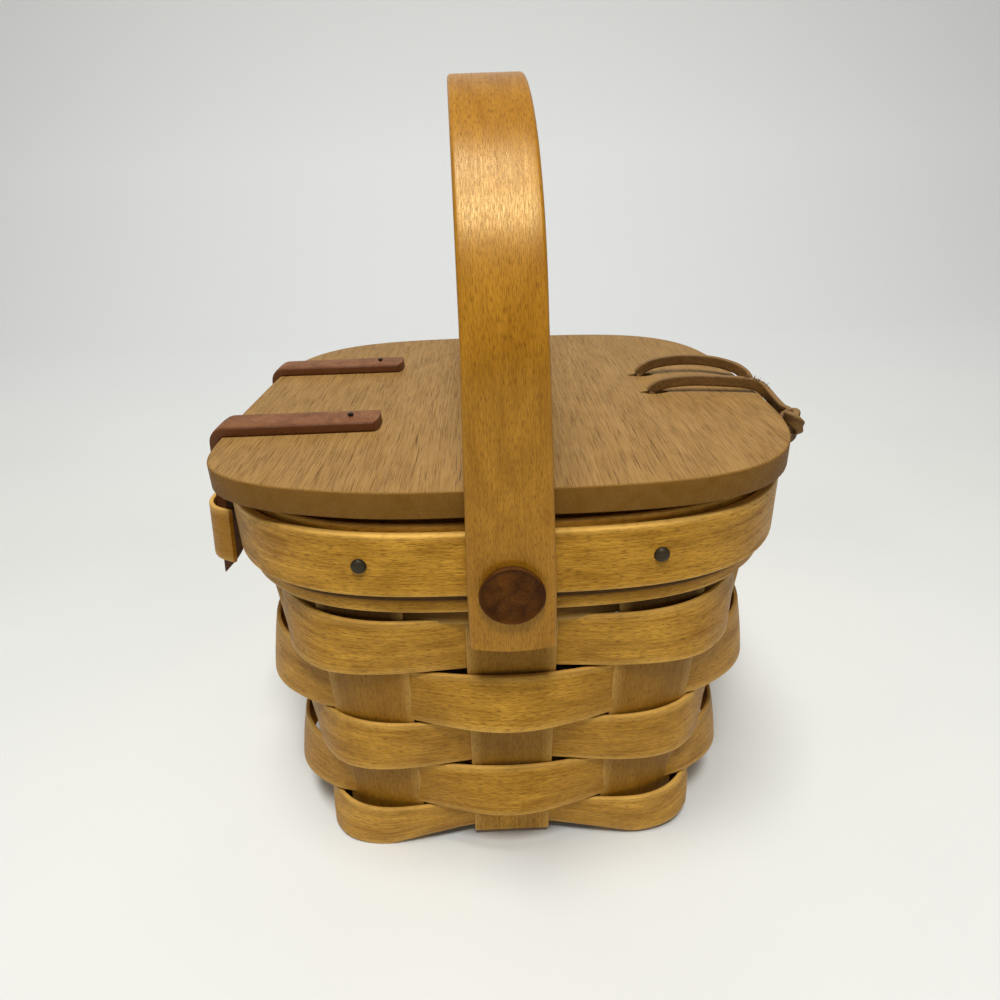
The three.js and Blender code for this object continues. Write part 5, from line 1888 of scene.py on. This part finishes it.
@dataclass
class Studio:
    """Pale floor that curves up into a backdrop, soft lamps, and the camera of the photograph."""

    eye: tuple[float, float, float] = (-0.002882, -0.204017, 0.181447)
    forward: tuple[float, float, float] = (0.0072, 0.9033, -0.4290)
    right: tuple[float, float, float] = (0.9992, -0.0232, -0.0321)
    lens_pixels: float = 690.0
    frame_pixels: float = 1000.0
    sensor: float = 36.0
    clip: tuple[float, float] = (0.01, 50.0)
    floor_colour: Colour = Colour(230, 230, 224)
    cloud_colour: Colour = Colour(224, 225, 220)
    # Painted light towards the back of the floor, and painted shade up the wall
    far_painted_light: Colour = Colour(252, 253, 251)
    wall_painted_shade: Colour = Colour(206, 207, 203)
    cloud_range: tuple[float, float] = (0.3, 0.7)
    far_light_range: tuple[float, float] = (0.15, 0.6)
    wall_shade_range: tuple[float, float] = (0.2, 0.8)
    cloud_scale: float = 6.0
    cloud_detail: float = 3.0
    floor_roughness: float = 0.85
    floor_shine: float = 0.2
    floor_half: float = 3.0
    floor_columns: int = 9
    floor_near: tuple[float, float, float] = (-3.0, -0.6, 0.0)
    back_distance: float = 0.62
    back_radius: float = 0.35
    back_height: float = 1.6
    back_steps: int = 24
    aim: tuple[float, float, float] = (0.0, 0.0, 0.09)
    # Name, place, length of a side and power of each lamp
    lamps: tuple = (
        ("key_lamp", (0.0, -0.52, 1.04), 0.22, 7.6),
        ("top_lamp", (-0.1, -0.2, 1.3), 0.3, 7.0),
    )
    room_light: float = 0.2

    def camera(self) -> None:
        """Places the camera, with its lens from the photograph's pixels."""
        data = bpy.data.cameras.new("photo_camera")
        data.sensor_width = self.sensor
        data.lens = self.sensor * self.lens_pixels / self.frame_pixels
        data.clip_start, data.clip_end = self.clip
        ahead = Vector(self.forward).normalized()
        right = Vector(self.right).normalized()
        up = right.cross(ahead).normalized()
        right = ahead.cross(up).normalized()
        turn = Matrix((right, up, -ahead)).transposed().to_4x4()
        camera = bpy.data.objects.new("photo_camera", data)
        camera.matrix_world = Matrix.Translation(self.eye) @ turn
        bpy.context.scene.collection.objects.link(camera)
        bpy.context.scene.camera = camera

    def backdrop(self) -> None:
        """Builds the floor and the backdrop: a flat, a quarter circle and a wall, carried across."""
        angle = np.linspace(0, math.pi / 2, self.back_steps)
        bend_y = self.back_distance + self.back_radius * np.sin(angle)
        bend_z = self.back_radius * (1 - np.cos(angle))
        y = np.concatenate([self.floor_near, bend_y, bend_y[-1:]])
        z = np.concatenate([np.zeros(len(self.floor_near)), bend_z, [self.back_height]])
        x = np.linspace(-self.floor_half, self.floor_half, self.floor_columns)
        points = np.stack(np.broadcast_arrays(x[None, :], y[:, None], z[:, None]), axis=-1)
        quads = grid_quads(*points.shape[:2])
        mesh = bpy.data.meshes.new("pale_floor")
        mesh.from_pydata(points.reshape(-1, 3).tolist(), [], quads.tolist())
        mesh.polygons.foreach_set("use_smooth", np.ones(len(mesh.polygons), bool))
        material, graph, shader = new_material("pale_floor")
        place = graph.node("ShaderNodeTexCoord").outputs["Object"]
        cloud = graph.remap(graph.noise(place, self.cloud_scale, self.cloud_detail), *self.cloud_range)
        colour = graph.mix(cloud, self.floor_colour.linear(), self.cloud_colour.linear())
        parts = graph.node("ShaderNodeSeparateXYZ", {"Vector": place}).outputs
        # Painted light towards the back of the floor, then painted shade up the wall
        colour = graph.mix(graph.remap(parts["Y"], *self.far_light_range), colour, self.far_painted_light.linear())
        colour = graph.mix(graph.remap(parts["Z"], *self.wall_shade_range), colour, self.wall_painted_shade.linear())
        graph.tree.links.new(colour, shader.inputs["Base Color"])
        shader.inputs["Roughness"].default_value = self.floor_roughness
        shader.inputs["Specular IOR Level"].default_value = self.floor_shine
        mesh.materials.append(material)
        floor = bpy.data.objects.new("pale_floor", mesh)
        bpy.context.scene.collection.objects.link(floor)

    def lamp(self, name: str, place: tuple, size: float, watts: float) -> None:
        """Places one soft square lamp that faces the basket.

        Args:
            name: the lamp's name.
            place: where it stands.
            size: length of its side.
            watts: its power.
        """
        data = bpy.data.lights.new(name, "AREA")
        data.size = size
        data.energy = watts
        lamp = bpy.data.objects.new(name, data)
        lamp.location = place
        lamp.rotation_mode = "QUATERNION"
        lamp.rotation_quaternion = (Vector(self.aim) - Vector(place)).to_track_quat("-Z", "Y")
        bpy.context.scene.collection.objects.link(lamp)

    def build(self) -> None:
        """Builds the whole studio."""
        self.camera()
        self.backdrop()
        for lamp in self.lamps:
            self.lamp(*lamp)
        world = bpy.data.worlds.new("soft_room")
        world.use_nodes = True
        ground = world.node_tree.nodes["Background"]
        ground.inputs["Color"].default_value = (1.0, 1.0, 1.0, 1.0)
        ground.inputs["Strength"].default_value = self.room_light
        bpy.context.scene.world = world
        bpy.context.scene.view_settings.view_transform = "Standard"


def main() -> None:
    """Builds the studio and every sub-assembly in order."""
    logging.basicConfig(level=logging.INFO, format="%(message)s")
    Studio().build()
    shop = Workshop(Finishes())
    PullThong().build(shop)
    WovenBody().build(shop)
    RimHoops().build(shop)
    SwingHandle().build(shop)
    BoardLid().build(shop)
    HingeStraps().build(shop)


if __name__ == "__main__":
    main()
